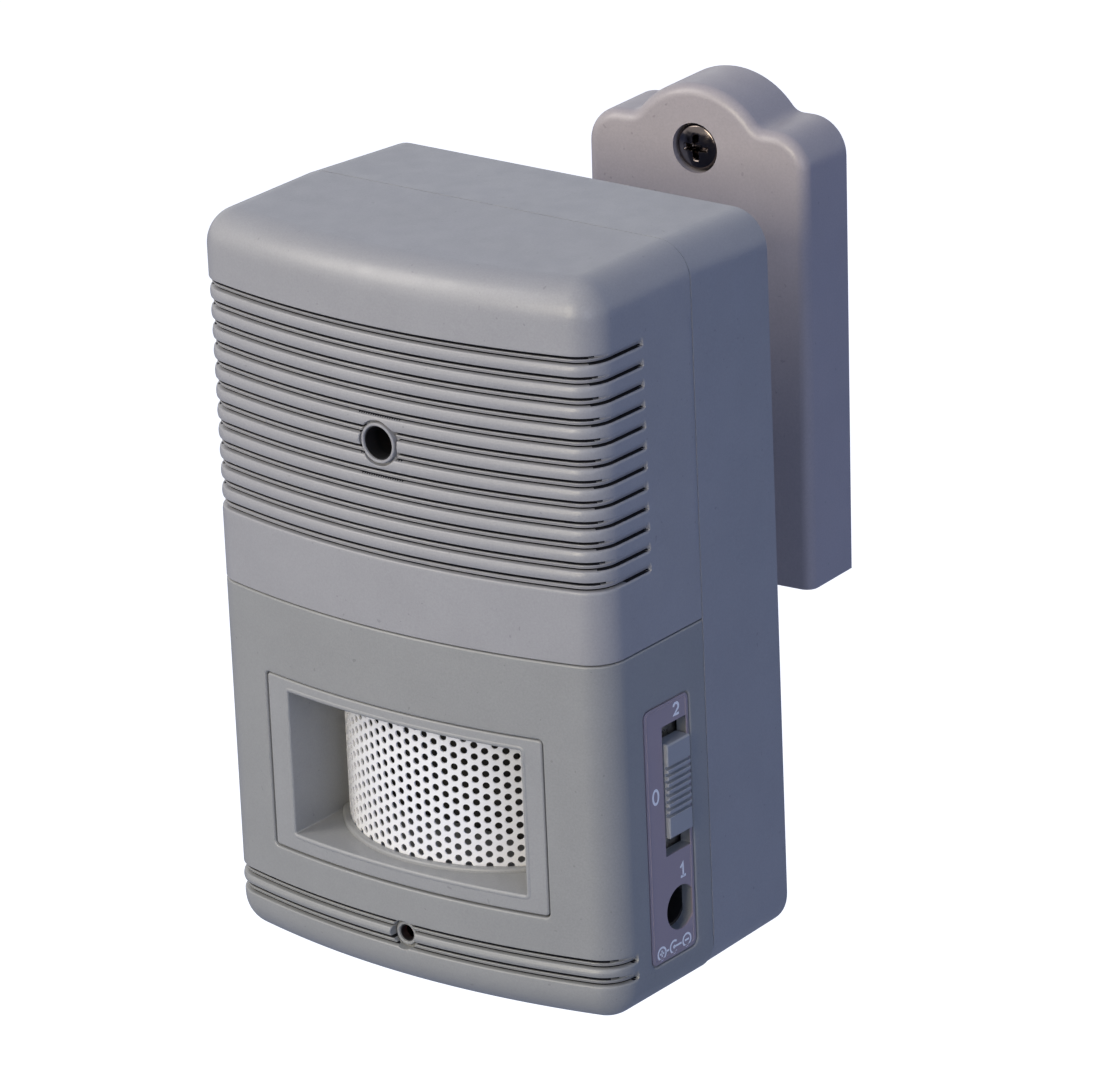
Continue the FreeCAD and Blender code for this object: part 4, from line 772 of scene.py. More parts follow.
@dataclass
class CoverSkin:
    """One front cover's shell: outer skin, rounded parting edges, rims and plain inner skin."""

    rows: Rows
    groove: Groove
    groove_end: float
    rib_inset: float = 0.14
    edge: float = 0.12
    wall: float = 2.0
    # Depth past which a groove's faces get the painted slot shade.
    dark_below: float = 0.55
    extra_columns: tuple[float, ...] = ()

    def __post_init__(self) -> None:
        """Works out the columns once."""
        self.u = self.columns()
        self.patch = Patchwork()

    def columns(self) -> np.ndarray:
        """Where the columns stand along the outline, closer at corners, groove ends and the seam."""
        p = PLAN
        ends = [-0.02, 0.0, 0.06, 0.12, 0.18, 0.24, 0.32, 0.42, 0.54, 0.68, 0.84, 1.02, 1.4]
        right = [
            np.linspace(0.0, 5.0, 13),
            np.arange(6.2, p.bow_length, 1.4),
            np.linspace(p.bow_length, p.side_start, 16),
            np.linspace(p.side_start + 1.5, p.seam_u - 1.0, 8),
            self.groove_end - np.array(ends),
            p.seam_u - np.array([0.0, 0.02, 0.05, 0.12]),
            np.abs(np.array(self.extra_columns)),
        ]
        positive = np.unique(np.round(np.concatenate(right), 5))
        keep = np.concatenate([[True], np.diff(positive) > 0.004])
        positive = positive[keep]
        return np.concatenate([-positive[:0:-1], positive])

    def blend(self, u: np.ndarray, front: np.ndarray, side: np.ndarray, share: np.ndarray,
              short: np.ndarray) -> np.ndarray:
        """Depth below the plain surface: the groove's two profiles mixed round the corner, and the ribs' inset.

        Args:
            u: Distances along the outline.
            front: Depths that hold on the front.
            side: Depths that hold on the sides.
            share: Shares of the ribs' inset.
            short: How much earlier the groove ends.

        Returns:
            The depths.
        """
        strength = smoothstep(PLAN.side_start + 0.6, PLAN.bow_length - 1.0, np.abs(u))
        cut = (front * strength + side * (1.0 - strength)) * self.groove.mask(u, self.groove_end - short)
        return cut + share * self.inset(u) + round_over(self.edge, PLAN.seam_u - np.abs(u))

    def inset(self, u: np.ndarray) -> np.ndarray:
        """How far the ribs lie inside the plain surface: all of it on the front, none at the grooves' ends."""
        return smoothstep(self.groove_end, PLAN.side_start - 3.0, np.abs(u)) * self.rib_inset

    def limit(self, u: np.ndarray) -> np.ndarray:
        """The depth under which a slot's faces get painted shade: deeper on the front, where the bead keeps the plain
        finish.
        """
        return self.dark_below + 1.1 * self.inset(u)

    def sink(self) -> np.ndarray:
        """Depth below the plain surface for every row and column."""
        front, side, share, short = (self.rows.column(i)[:, None] for i in range(3, 7))
        return self.blend(self.u[None, :], front, side, share, short)

    def depth(self, u: np.ndarray, z: np.ndarray) -> np.ndarray:
        """Depth below the plain surface at any places, read between the rows."""
        heights = self.rows.column(0)
        inset = np.interp(z, heights, self.rows.column(1))
        return inset + self.blend(u, *(np.interp(z, heights, self.rows.column(i)) for i in range(3, 7)))

    def surface(self, sink: np.ndarray | float, pick: np.ndarray | slice = slice(None)) -> np.ndarray:
        """The skin at a depth.

        Each point is the outline's, moved in by the row's inset, raised to the row's height, and then
        sunk along the surface's normal, which tilts with the row.

        Args:
            sink: Depths, one number or (rows, columns).
            pick: Which rows are wanted.

        Returns:
            A (rows, columns, 3) array.
        """
        z, inset, tilt = (self.rows.column(i)[pick][:, None] for i in range(3))
        spot, normal = PLAN.at(self.u)
        made = np.empty((len(z), len(self.u), 3))
        made[..., :2] = spot[None] - normal[None] * inset[..., None]
        made[..., 2] = z
        outward = np.concatenate([normal[None] * np.cos(tilt)[..., None],
                                  np.broadcast_to(np.sin(tilt), made.shape[:2])[..., None]], axis=-1)
        return made - outward * np.broadcast_to(sink, made.shape[:2])[..., None]

    def mask(self, windows: list[Box], z: np.ndarray) -> np.ndarray:
        """Which quads between rows at heights z stay when rectangles (u0, u1, z0, z1) are left open."""
        u = (self.u[1:] + self.u[:-1]) / 2
        z = (z[1:] + z[:-1]) / 2
        keep = np.ones((len(z), len(u)), bool)
        for u0, u1, z0, z1 in windows:
            keep &= ~(((u > u0) & (u < u1))[None, :] & ((z > z0) & (z < z1))[:, None])
        return keep

    def border(self, window: Box, calm: bool = False) -> np.ndarray:
        """The grid's own points round an open rectangle, in order, as (u, z); calm takes the inner skin's."""
        u0, u1, z0, z1 = window
        z_all = self.rows.column(0)[self.rows.calm() if calm else slice(None)]
        u = self.u[(self.u >= u0 - 1e-4) & (self.u <= u1 + 1e-4)]
        z = np.unique(z_all[(z_all >= z0 - 1e-4) & (z_all <= z1 + 1e-4)])
        return np.concatenate([
            np.stack([u, np.full(len(u), z[0])], 1),
            np.stack([np.full(len(z) - 2, u[-1]), z[1:-1]], 1),
            np.stack([u[::-1], np.full(len(u), z[-1])], 1),
            np.stack([np.full(len(z) - 2, u[0]), z[-2:0:-1]], 1),
        ])

    def snap(self, port: Port) -> Box:
        """The rectangle of grid lines that stands clear of a port on every side."""
        z = self.rows.column(0)[self.rows.calm()]
        reach = port.recess + 0.05
        across = float(self.u[self.u >= reach].min())
        return (-across, across, float(z[z <= port.height - reach].max()), float(z[z >= port.height + reach].min()))

    def shell(self, windows: list[Box], cap_last: bool) -> None:
        """Adds both skins, the flat cap at the closed end and the rims at the parting edges.

        Args:
            windows: Rectangles (u0, u1, z0, z1) that are left open.
            cap_last: Whether the closed end is the last row, as on the upper cover.
        """
        calm = self.rows.calm()
        heights = self.rows.column(0)
        sink = self.sink()
        outer, inner = self.surface(sink), self.surface(self.wall, calm)
        patch = self.patch
        corners = (sink[1:, 1:] + sink[1:, :-1] + sink[:-1, 1:] + sink[:-1, :-1]) / 4
        # Quads sunk past the limit take the second finish: painted shade in the slots.
        patch.grid(outer, self.mask(windows, heights), dark=corners > self.limit((self.u[1:] + self.u[:-1]) / 2))
        patch.grid(inner, self.mask(windows, heights[calm]), flip=True)
        cap, free = (-1, 0) if cap_last else (0, -1)
        edge = int(np.sum(PLAN.seam_u - self.u[-8:] < self.edge - 1e-6))
        body = slice(edge, len(self.u) - edge)
        patch.loop_fill(outer[cap, body], flip=not cap_last)
        patch.loop_fill(inner[cap], flip=cap_last)
        left = outer[cap, :edge + 1]
        right = outer[cap, ::-1][:edge + 1]
        patch.grid(np.stack([left, right]), flip=cap_last)
        patch.grid(np.stack([outer[free], inner[free]]), flip=cap_last)
        for column, turn in ((0, True), (-1, False)):
            patch.loop_fill(np.concatenate([outer[:, column], inner[::-1, column]]), flip=turn)
        patch.grid(np.stack([outer[cap, [0, -1]], inner[cap, [0, -1]]]), flip=cap_last)

    def opening(self, loop: Loop, edge: float, start: float, end: float) -> np.ndarray:
        """Adds an opening's rounded edge and wall, and gives the loop where the surface begins.

        Args:
            loop: Gives the opening's (u, z) outline, grown by a distance.
            edge: Radius of the rounded edge.
            start: Depth of the surface that it is cut in.
            end: Depth where the wall ends.

        Returns:
            The outline grown by the edge's radius.
        """
        turn = np.radians([0.0, 30.0, 60.0, 90.0])
        levels = [PLAN.lift(loop(edge * (1 - math.sin(a))), start + edge * (1 - math.cos(a))) for a in turn]
        levels.append(PLAN.lift(loop(0.0), end))
        self.patch.grid(np.stack(levels), close=True)
        return loop(edge)

    def port(self, port: Port) -> None:
        """Adds a port and the piece of ribbed skin round it, which fills the port's open rectangle.

        The piece is triangulated along the same rows as the skin, and each row that meets the recess ends
        on its circle.

        Args:
            port: The port.
        """
        u0, u1, z0, z1 = window = self.snap(port)
        heights = self.rows.column(0)
        heights = heights[(heights >= z0 - 1e-6) & (heights <= z1 + 1e-6)]
        across = self.u[(self.u >= u0 - 1e-6) & (self.u <= u1 + 1e-6)]
        rise = (heights - port.height) / port.recess
        crossing = np.arcsin(rise[np.abs(rise) < 1.0])
        crossing = np.concatenate([crossing, math.pi - crossing]) % (2 * math.pi)
        even = np.arange(72) * math.pi / 36
        gap = np.abs((even[:, None] - crossing[None, :] + math.pi) % (2 * math.pi) - math.pi)
        turn = np.sort(np.concatenate([even[gap.min(axis=1) > 0.02], crossing]))
        circle = port.ring(port.recess, turn)
        points = [tuple(p) for p in circle.tolist()]
        edges = [(i, (i + 1) % len(circle)) for i in range(len(circle))]
        sides: list[tuple[int, int]] = []
        for z in heights.tolist():
            half = port.recess ** 2 - (z - port.height) ** 2
            clear = across if half <= 0 else across[np.abs(across) > math.sqrt(half) + 0.05]
            on_circle = np.flatnonzero(np.abs(circle[:, 1] - z) < 1e-9) if half > 0 else np.array([], int)
            first = len(points)
            points.extend((float(u), z) for u in clear)
            line = sorted(list(range(first, len(points))) + on_circle.tolist(), key=lambda i: points[i][0])
            for a, b in zip(line, line[1:]):
                middle = (points[a][0] + points[b][0]) / 2
                if half <= 0 or abs(middle) >= math.sqrt(half) - 1e-9:
                    edges.append((a, b))
            sides.append((line[0], line[-1]))
        for (a, b), (c, d) in zip(sides, sides[1:]):
            edges.extend([(a, c), (b, d)])
        plane, faces = triangulate(points, edges)
        faces = faces[~inside(circle, plane[faces].mean(axis=1))]
        depth = self.depth(plane[:, 0], plane[:, 1])
        # Triangles sunk past the limit take the painted slot shade.
        self.patch.add(PLAN.lift(plane, depth), faces.tolist(),
                       depth[faces].mean(axis=1) > self.limit(plane[faces][..., 0].mean(axis=1)))
        self.patch.grid(port.loops(turn, self.depth(circle[:, 0], circle[:, 1]), self.wall), close=True)
        self.patch.flat_fill([self.border(window, calm=True), port.ring(port.bore, turn)],
                             lambda p: PLAN.lift(p, self.wall), flip=True)


@dataclass
class UpperCover:
    """Hood, twelve ribs and the plain band above the parting line, with the light port among the ribs."""

    split: float = 54.8
    top: float = 110.0
    round: float = 5.34
    first: float = 99.25
    pitch: float = 3.0
    count: int = 12
    groove_reach: float = -30.1
    parting_edge: float = 0.12
    light_port: Port = Port(82.75, 3.45, 1.0, 2.95, 2.5, 0.06)

    def rows(self) -> Rows:
        """Rounded parting edge, band, grooves and ribs, hood and its rounded top edge."""
        made = Rows()
        for d in (0.0, 0.02, 0.05, 0.12):
            made.plain(self.split + d, float(round_over(self.parting_edge, np.array(d))))
        groove = Groove()
        lowest = self.first - (self.count - 1) * self.pitch
        for z in np.linspace(self.split + 1.5, lowest - 1.3, 6):
            made.plain(float(z))
        for index in reversed(range(self.count)):
            height = self.first - index * self.pitch
            below = 0.4 if index == self.count - 1 else 1.0
            above = 0.0 if index == 0 else 1.0
            made.table.extend(groove.rows(height, below, above))
            if index:
                made.table.extend(groove.rib(height + groove.high, height + self.pitch + groove.low))
        for z in np.linspace(self.first + 1.3, self.top - self.round - 0.6, 4):
            made.plain(float(z))
        for a in np.linspace(0.0, math.pi / 2, 15):
            made.plain(self.top - self.round * (1 - math.sin(a)), self.round * (1 - math.cos(a)), float(a))
        return made

    def build(self) -> None:
        """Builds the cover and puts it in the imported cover's place."""
        skin = CoverSkin(self.rows(), Groove(), PLAN.u_on_side(self.groove_reach))
        skin.shell([skin.snap(self.light_port)], cap_last=True)
        skin.port(self.light_port)
        # Its second finish is painted shade in the grooves' deep slots.
        skin.patch.build("upper_front_cover_skin", PLASTIC, Body.CHIME, ("upper_front_cover",),
                         second=PAINTED_SLOT_SHADE)
        self.light_port.liner("light_port_liner", 2.6)


@dataclass
class LowerCover:
    """The front below the parting line: window opening, foot grooves, indicator port and side recess."""

    split: float = 54.6
    parting_edge: float = 0.35
    round: float = 5.34
    first: float = 9.55
    pitch: float = 2.65
    groove_reach: float = -36.5
    lamp_port: Port = Port(8.2, 2.3, 1.45, 1.8, 1.3, 0.9)
    window: Box = (-24.95, 24.95, 15.7, 42.75)
    window_corner: float = 0.75
    panel: Box = (-33.4, -22.6, 6.3, 45.4)
    panel_corner: float = 1.2
    recess: float = 0.4
    margin: float = 1.1

    def window_loop(self, grow: float) -> np.ndarray:
        """The window opening's outline in (u, z), grown by a distance."""
        return PLAN.front_loop(self.window, self.window_corner, grow)

    def panel_loop(self, grow: float) -> np.ndarray:
        """The side recess's outline in (u, z), grown by a distance."""
        return PLAN.side_loop(self.panel, self.panel_corner, grow)

    def rows(self) -> Rows:
        """Rounded base edge, two grooves with a rib, plain wall and rounded parting edge."""
        made = Rows()
        for a in np.linspace(math.pi / 2, 0.0, 15):
            made.plain(self.round * (1 - math.sin(a)), self.round * (1 - math.cos(a)), -float(a))
        groove = Groove()
        low = self.first - self.pitch
        made.table.extend(groove.rows(low, 0.0, 0.0))
        made.table.extend((*row[:5], 0.0, 0.0) for row in groove.rib(low + groove.high, self.first + groove.low))
        made.table.extend(groove.rows(self.first, 0.0, 0.0))
        z0, z1 = self.window[2] - self.margin, self.window[3] + self.margin
        p1 = self.panel[3] + self.margin
        heights = np.concatenate([[11.2, 12.4, z0, z1, p1], np.linspace(z0, z1, 22)[1:-1], [49.0, 52.0]])
        for z in np.unique(np.round(heights, 4)):
            made.plain(float(z))
        for share in (1.0, 0.6, 0.3, 0.1, 0.0):
            d = share * self.parting_edge
            made.plain(self.split - d, float(round_over(self.parting_edge, np.array(d))))
        return made

    def build(self) -> None:
        """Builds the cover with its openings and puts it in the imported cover's place."""
        x0, x1, z0, z1 = self.window
        reach = float(PLAN.u_on_front(x1 + self.margin))
        y0, y1, p0, p1 = self.panel
        u0, u1 = PLAN.u_on_side(y0 - self.margin), PLAN.u_on_side(y1 + self.margin)
        skin = CoverSkin(self.rows(), Groove(), PLAN.u_on_side(self.groove_reach),
                         extra_columns=(reach, u0, u1))
        front = (-reach, reach, z0 - self.margin, z1 + self.margin)
        side = (u0, u1, self.side_base(skin), p1 + self.margin)
        skin.shell([front, side, skin.snap(self.lamp_port)], cap_last=False)
        skin.port(self.lamp_port)
        frame_edge = skin.opening(self.window_loop, 0.32, 0.0, skin.wall)
        skin.patch.flat_fill([skin.border(front), frame_edge], PLAN.lift)
        skin.patch.flat_fill([skin.border(front, calm=True), self.window_loop(0.0)],
                             lambda p: PLAN.lift(p, skin.wall), flip=True)
        recess_edge = skin.opening(self.panel_loop, 0.28, 0.0, self.recess)
        skin.patch.flat_fill([skin.border(side), recess_edge], PLAN.lift)
        slot = Controls().slot_loop
        jack = Controls().jack_loop
        skin.patch.flat_fill([self.panel_loop(0.0), slot(0.0), jack(0.0)], lambda p: PLAN.lift(p, self.recess))
        skin.patch.flat_fill([skin.border(side, calm=True), slot(0.0), jack(0.0)],
                             lambda p: PLAN.lift(p, skin.wall), flip=True)
        for loop in (slot, jack):
            walls = [PLAN.lift(loop(0.0), self.recess), PLAN.lift(loop(0.0), skin.wall)]
            skin.patch.grid(np.stack(walls), close=True)
        # Its finish is a darker copy of the case plastic, as painted shade; its second finish is painted shade in the
        # deep slots.
        skin.patch.build("lower_front_cover_skin", LOWER_PLASTIC_PAINTED_SHADE, Body.CHIME, ("lower_front_cover",),
                         second=PAINTED_SLOT_SHADE)
        self.lamp_port.liner("lamp_port_liner", 2.4)

    def side_base(self, skin: CoverSkin) -> float:
        """The row at or just below the recess's foot, where its patch begins."""
        z = skin.rows.column(0)[skin.rows.calm()]
        return float(z[z <= self.panel[2] - 0.3].max())


# Window, grille and side controls
@dataclass
class WindowTray:
    """Window surround that follows the bow, its straight jambs, the sill's lips and the baffle behind."""

    outline: Box = (-24.75, 24.75, 15.9, 42.55)
    corner: float = 0.6
    opening: Box = (-20.35, 21.3, 18.65, 40.55)
    edge: float = 0.35
    recess: float = 0.2
    skirt: float = 2.6
    back: float = -30.24
    duct: float = 1.5
    lip_radius: float = 23.95
    lip_width: float = 1.0
    lip_height: float = 0.65
    lip_centre: float = -18.9
    lip_round: float = 0.42
    lip_foot: float = -0.2
    baffle_half: float = 23.6
    baffle_thickness: float = 1.5
    mouth: float = 17.8

    def outer(self, grow: float) -> np.ndarray:
        """The surround's outline in (u, z), grown by a distance."""
        return PLAN.front_loop(self.outline, self.corner, grow)

    def inner(self, grow: float) -> np.ndarray:
        """The opening's outline in (x, z), grown by a distance."""
        x0, x1, z0, z1 = self.opening
        return rounded_loop(x0 - grow, x1 + grow, z0 - grow, z1 + grow, 0.25 + grow, 40, 18, 4)

    def build(self) -> None:
        """Builds the surround, jambs, duct, lips and baffle as one moulding."""
        patch = Patchwork()
        turn = np.radians([0.0, 30.0, 60.0, 90.0])
        rim = [PLAN.lift(self.outer(-self.edge * (1 - math.sin(a))), self.recess + self.edge * (1 - math.cos(a)))
               for a in turn]
        rim.append(PLAN.lift(self.outer(0.0), self.skirt))
        patch.grid(np.stack(rim), flip=True, close=True)
        bead = [(0.72, 0.0), (0.62, -0.06), (0.46, -0.11), (0.29, -0.09), (0.14, 0.0), (0.05, 0.12), (0.0, 0.28)]
        levels = [self.on_bow(self.inner(grow), self.recess + sink) for grow, sink in bead]
        mouth = levels[-1]
        deep = mouth.copy()
        deep[:, 1] = self.back
        steps = np.linspace(0.0, 1.0, 5)[1:, None, None]
        walls = mouth[None] * (1 - steps) + deep[None] * steps
        patch.grid(np.concatenate([np.stack(levels), walls]), close=True)
        start = PLAN.to_front(self.inner(bead[0][0]))
        patch.flat_fill([self.outer(-self.edge), start], lambda p: PLAN.lift(p, self.recess))
        grown = self.inner(self.duct)
        front = self.on_bow(grown, self.skirt)
        rear = front.copy()
        rear[:, 1] = self.back
        patch.grid(np.stack([front, rear]), flip=True, close=True)
        patch.flat_fill([self.outer(0.0), PLAN.to_front(grown)], lambda p: PLAN.lift(p, self.skirt), flip=True)
        self.baffle(patch)
        for low, up in ((self.opening[2], 1), (self.opening[3], -1)):
            self.lip(patch, low, up)
        # Its finish is the tray's copy of the case plastic, lightened as painted light.
        patch.build("window_tray_moulding", TRAY_PLASTIC_PAINTED_LIGHT, Body.CHIME, ("window_tray",))

    def on_bow(self, flat: np.ndarray, sink: float) -> np.ndarray:
        """Points (x, z) set on the bow and moved straight back by a depth."""
        y = PLAN.centre - np.sqrt(PLAN.bow ** 2 - flat[:, 0] ** 2) + sink
        return np.stack([flat[:, 0], y, flat[:, 1]], 1)

    def baffle(self, patch: Patchwork) -> None:
        """Adds the plate behind the window, with the sounder's round mouth through it."""
        low, high = self.opening[2:]
        middle, half, tall = (low + high) / 2, self.baffle_half, self.baffle_half - 2.0
        plate = rounded_loop(-half, half, middle - tall, middle + tall, 6.0)
        hole = circle_loop(0.0, middle, self.mouth, 96)
        hole[:, 1] = np.clip(hole[:, 1], low, high)

        def front(flat: np.ndarray) -> np.ndarray:
            """Places (x, z) on the plate's front."""
            return np.insert(flat, 1, self.back, axis=1)

        def rear(flat: np.ndarray) -> np.ndarray:
            """Places (x, z) on the plate's back."""
            return np.insert(flat, 1, self.back + self.baffle_thickness, axis=1)

        patch.flat_fill([plate, self.inner(self.duct)], front)
        patch.flat_fill([self.inner(0.0), hole], front)
        patch.flat_fill([plate, hole], rear, flip=True)
        for loop, turned in ((plate, True), (hole, False)):
            patch.grid(np.stack([front(loop), rear(loop)]), close=True, flip=turned)

    def lip(self, patch: Patchwork, height: float, up: int) -> None:
        """Adds the rounded lip that holds the grille: a small arch-topped section swept round its axis.

        Args:
            patch: Where it is added.
            height: The sill's or the head's height.
            up: 1 on the sill, -1 under the head.
        """
        r0, r1 = self.lip_radius, self.lip_radius + self.lip_width
        turn = np.linspace(0.0, math.pi / 2, 5)
        r = self.lip_round
        section = [(r0, self.lip_foot), (r0, self.lip_height)]
        section += [(r1 - r + r * math.sin(a), self.lip_height - r + r * math.cos(a)) for a in turn]
        profile = np.array(section + [(r1, self.lip_foot)])
        reach = math.asin(min(self.opening[1] / r1, 1.0))
        sweep = np.linspace(-reach - 0.08, reach + 0.08, 61)
        x = profile[:, :1] * np.sin(sweep)[None, :]
        y = self.lip_centre - profile[:, :1] * np.cos(sweep)[None, :]
        z = np.broadcast_to(height + up * profile[:, 1:], x.shape)
        grid = np.stack([np.clip(x, self.opening[0] - 0.1, self.opening[1] + 0.1), y, z], axis=-1)
        patch.grid(grid, flip=up > 0)


@dataclass
class Grille:
    """Curved sheet of narrow flat strips, each with a column of round holes, the columns staggered."""

    radius: float = 23.8
    centre: float = -18.9
    shift: float = -0.15
    thickness: float = 0.25
    low: float = 18.7
    high: float = 40.5
    first_row: float = 19.3
    hole: float = 0.54
    pitch: float = 1.75
    columns: int = 16
    column_pitch: float = 1.5155

    def build(self) -> None:
        """Builds all strips in one mesh: both faces, the holes' walls and the sheet's edges."""
        patch = Patchwork()
        step = self.column_pitch / self.radius
        for index in range(-self.columns, self.columns + 1):
            self.strip(patch, index, index * step, step)
        for side in (-1, 1):
            self.rim(patch, side, step)
        patch.build("sounder_grille_sheet", ENAMEL, Body.CHIME, ("sounder_grille",), sharp=24.0)

    def place(self, angle: float, depth: float, x: np.ndarray, z: np.ndarray) -> np.ndarray:
        """Points of a flat strip whose middle faces an angle: x across the strip, z up, depth inwards."""
        s, c = math.sin(angle), math.cos(angle)
        r = self.radius * math.cos(self.column_pitch / self.radius / 2) - depth
        px = self.shift + r * s + x * c
        py = self.centre - r * c + x * s
        return np.stack([px, py, z], axis=-1)

    def strip(self, patch: Patchwork, index: int, angle: float, step: float) -> None:
        """Adds one strip of cells.

        Each cell is a rectangle with twelve points on its border and twelve on the hole, joined by quads.

        Args:
            patch: Where it is added.
            index: The strip's number; odd ones are set half a pitch higher.
            angle: Where it faces.
            step: Angle between strips.
        """
        edge = self.hole + 0.02
        base = self.first_row + (index % 2) * self.pitch / 2
        heights = np.arange(base, self.high - edge, self.pitch)
        turn = np.arange(12) * math.pi / 6
        ring = np.stack([self.hole * np.cos(turn), self.hole * np.sin(turn)], 1)
        h, v = self.radius * math.sin(step / 2), self.pitch / 2
        border = np.array([(h, 0), (h, v / 2), (h, v), (0, v), (-h, v), (-h, v / 2), (-h, 0), (-h, -v / 2),
                           (-h, -v), (0, -v), (h, -v), (h, -v / 2)])
        for z in heights:
            faces = []
            for depth in (0.0, self.thickness):
                narrow = np.array([1.0 - depth / self.radius, 1.0])
                loops = [border * narrow, ring]
                faces.append([self.place(angle, depth, p[:, 0], p[:, 1] + z) for p in loops])
            patch.grid(np.stack(faces[0]), close=True)
            patch.grid(np.stack([faces[0][1], faces[1][1]]), close=True)
            patch.grid(np.stack(faces[1]), close=True, flip=True)
        x = np.array([-h, 0.0, h])
        for z0, z1 in ((self.low, heights[0] - v), (heights[-1] + v, self.high)):
            if abs(z1 - z0) < 1e-6:
                continue
            for depth, turned in ((0.0, False), (self.thickness, True)):
                k = 1.0 - depth / self.radius
                bands = [self.place(angle, depth, x * k, np.full(3, z)) for z in (z0, z1)]
                patch.grid(np.stack(bands), flip=turned)
        for z, turned in ((self.low, True), (self.high, False)):
            ends = [self.place(angle, d, x * (1 - d / self.radius), np.full(3, z)) for d in (0.0, self.thickness)]
            patch.grid(np.stack(ends), flip=turned)

    def rim(self, patch: Patchwork, side: int, step: float) -> None:
        """Adds the sheet's outer edge on one side: two heights by both faces of the last strip."""
        x = np.full(2, side * self.radius * math.sin(step / 2))
        z = np.array([self.low, self.high])
        ends = [self.place(side * self.columns * step, d, x * (1 - d / self.radius), z) for d in (0.0, self.thickness)]
        patch.grid(np.stack(ends), flip=side < 0)


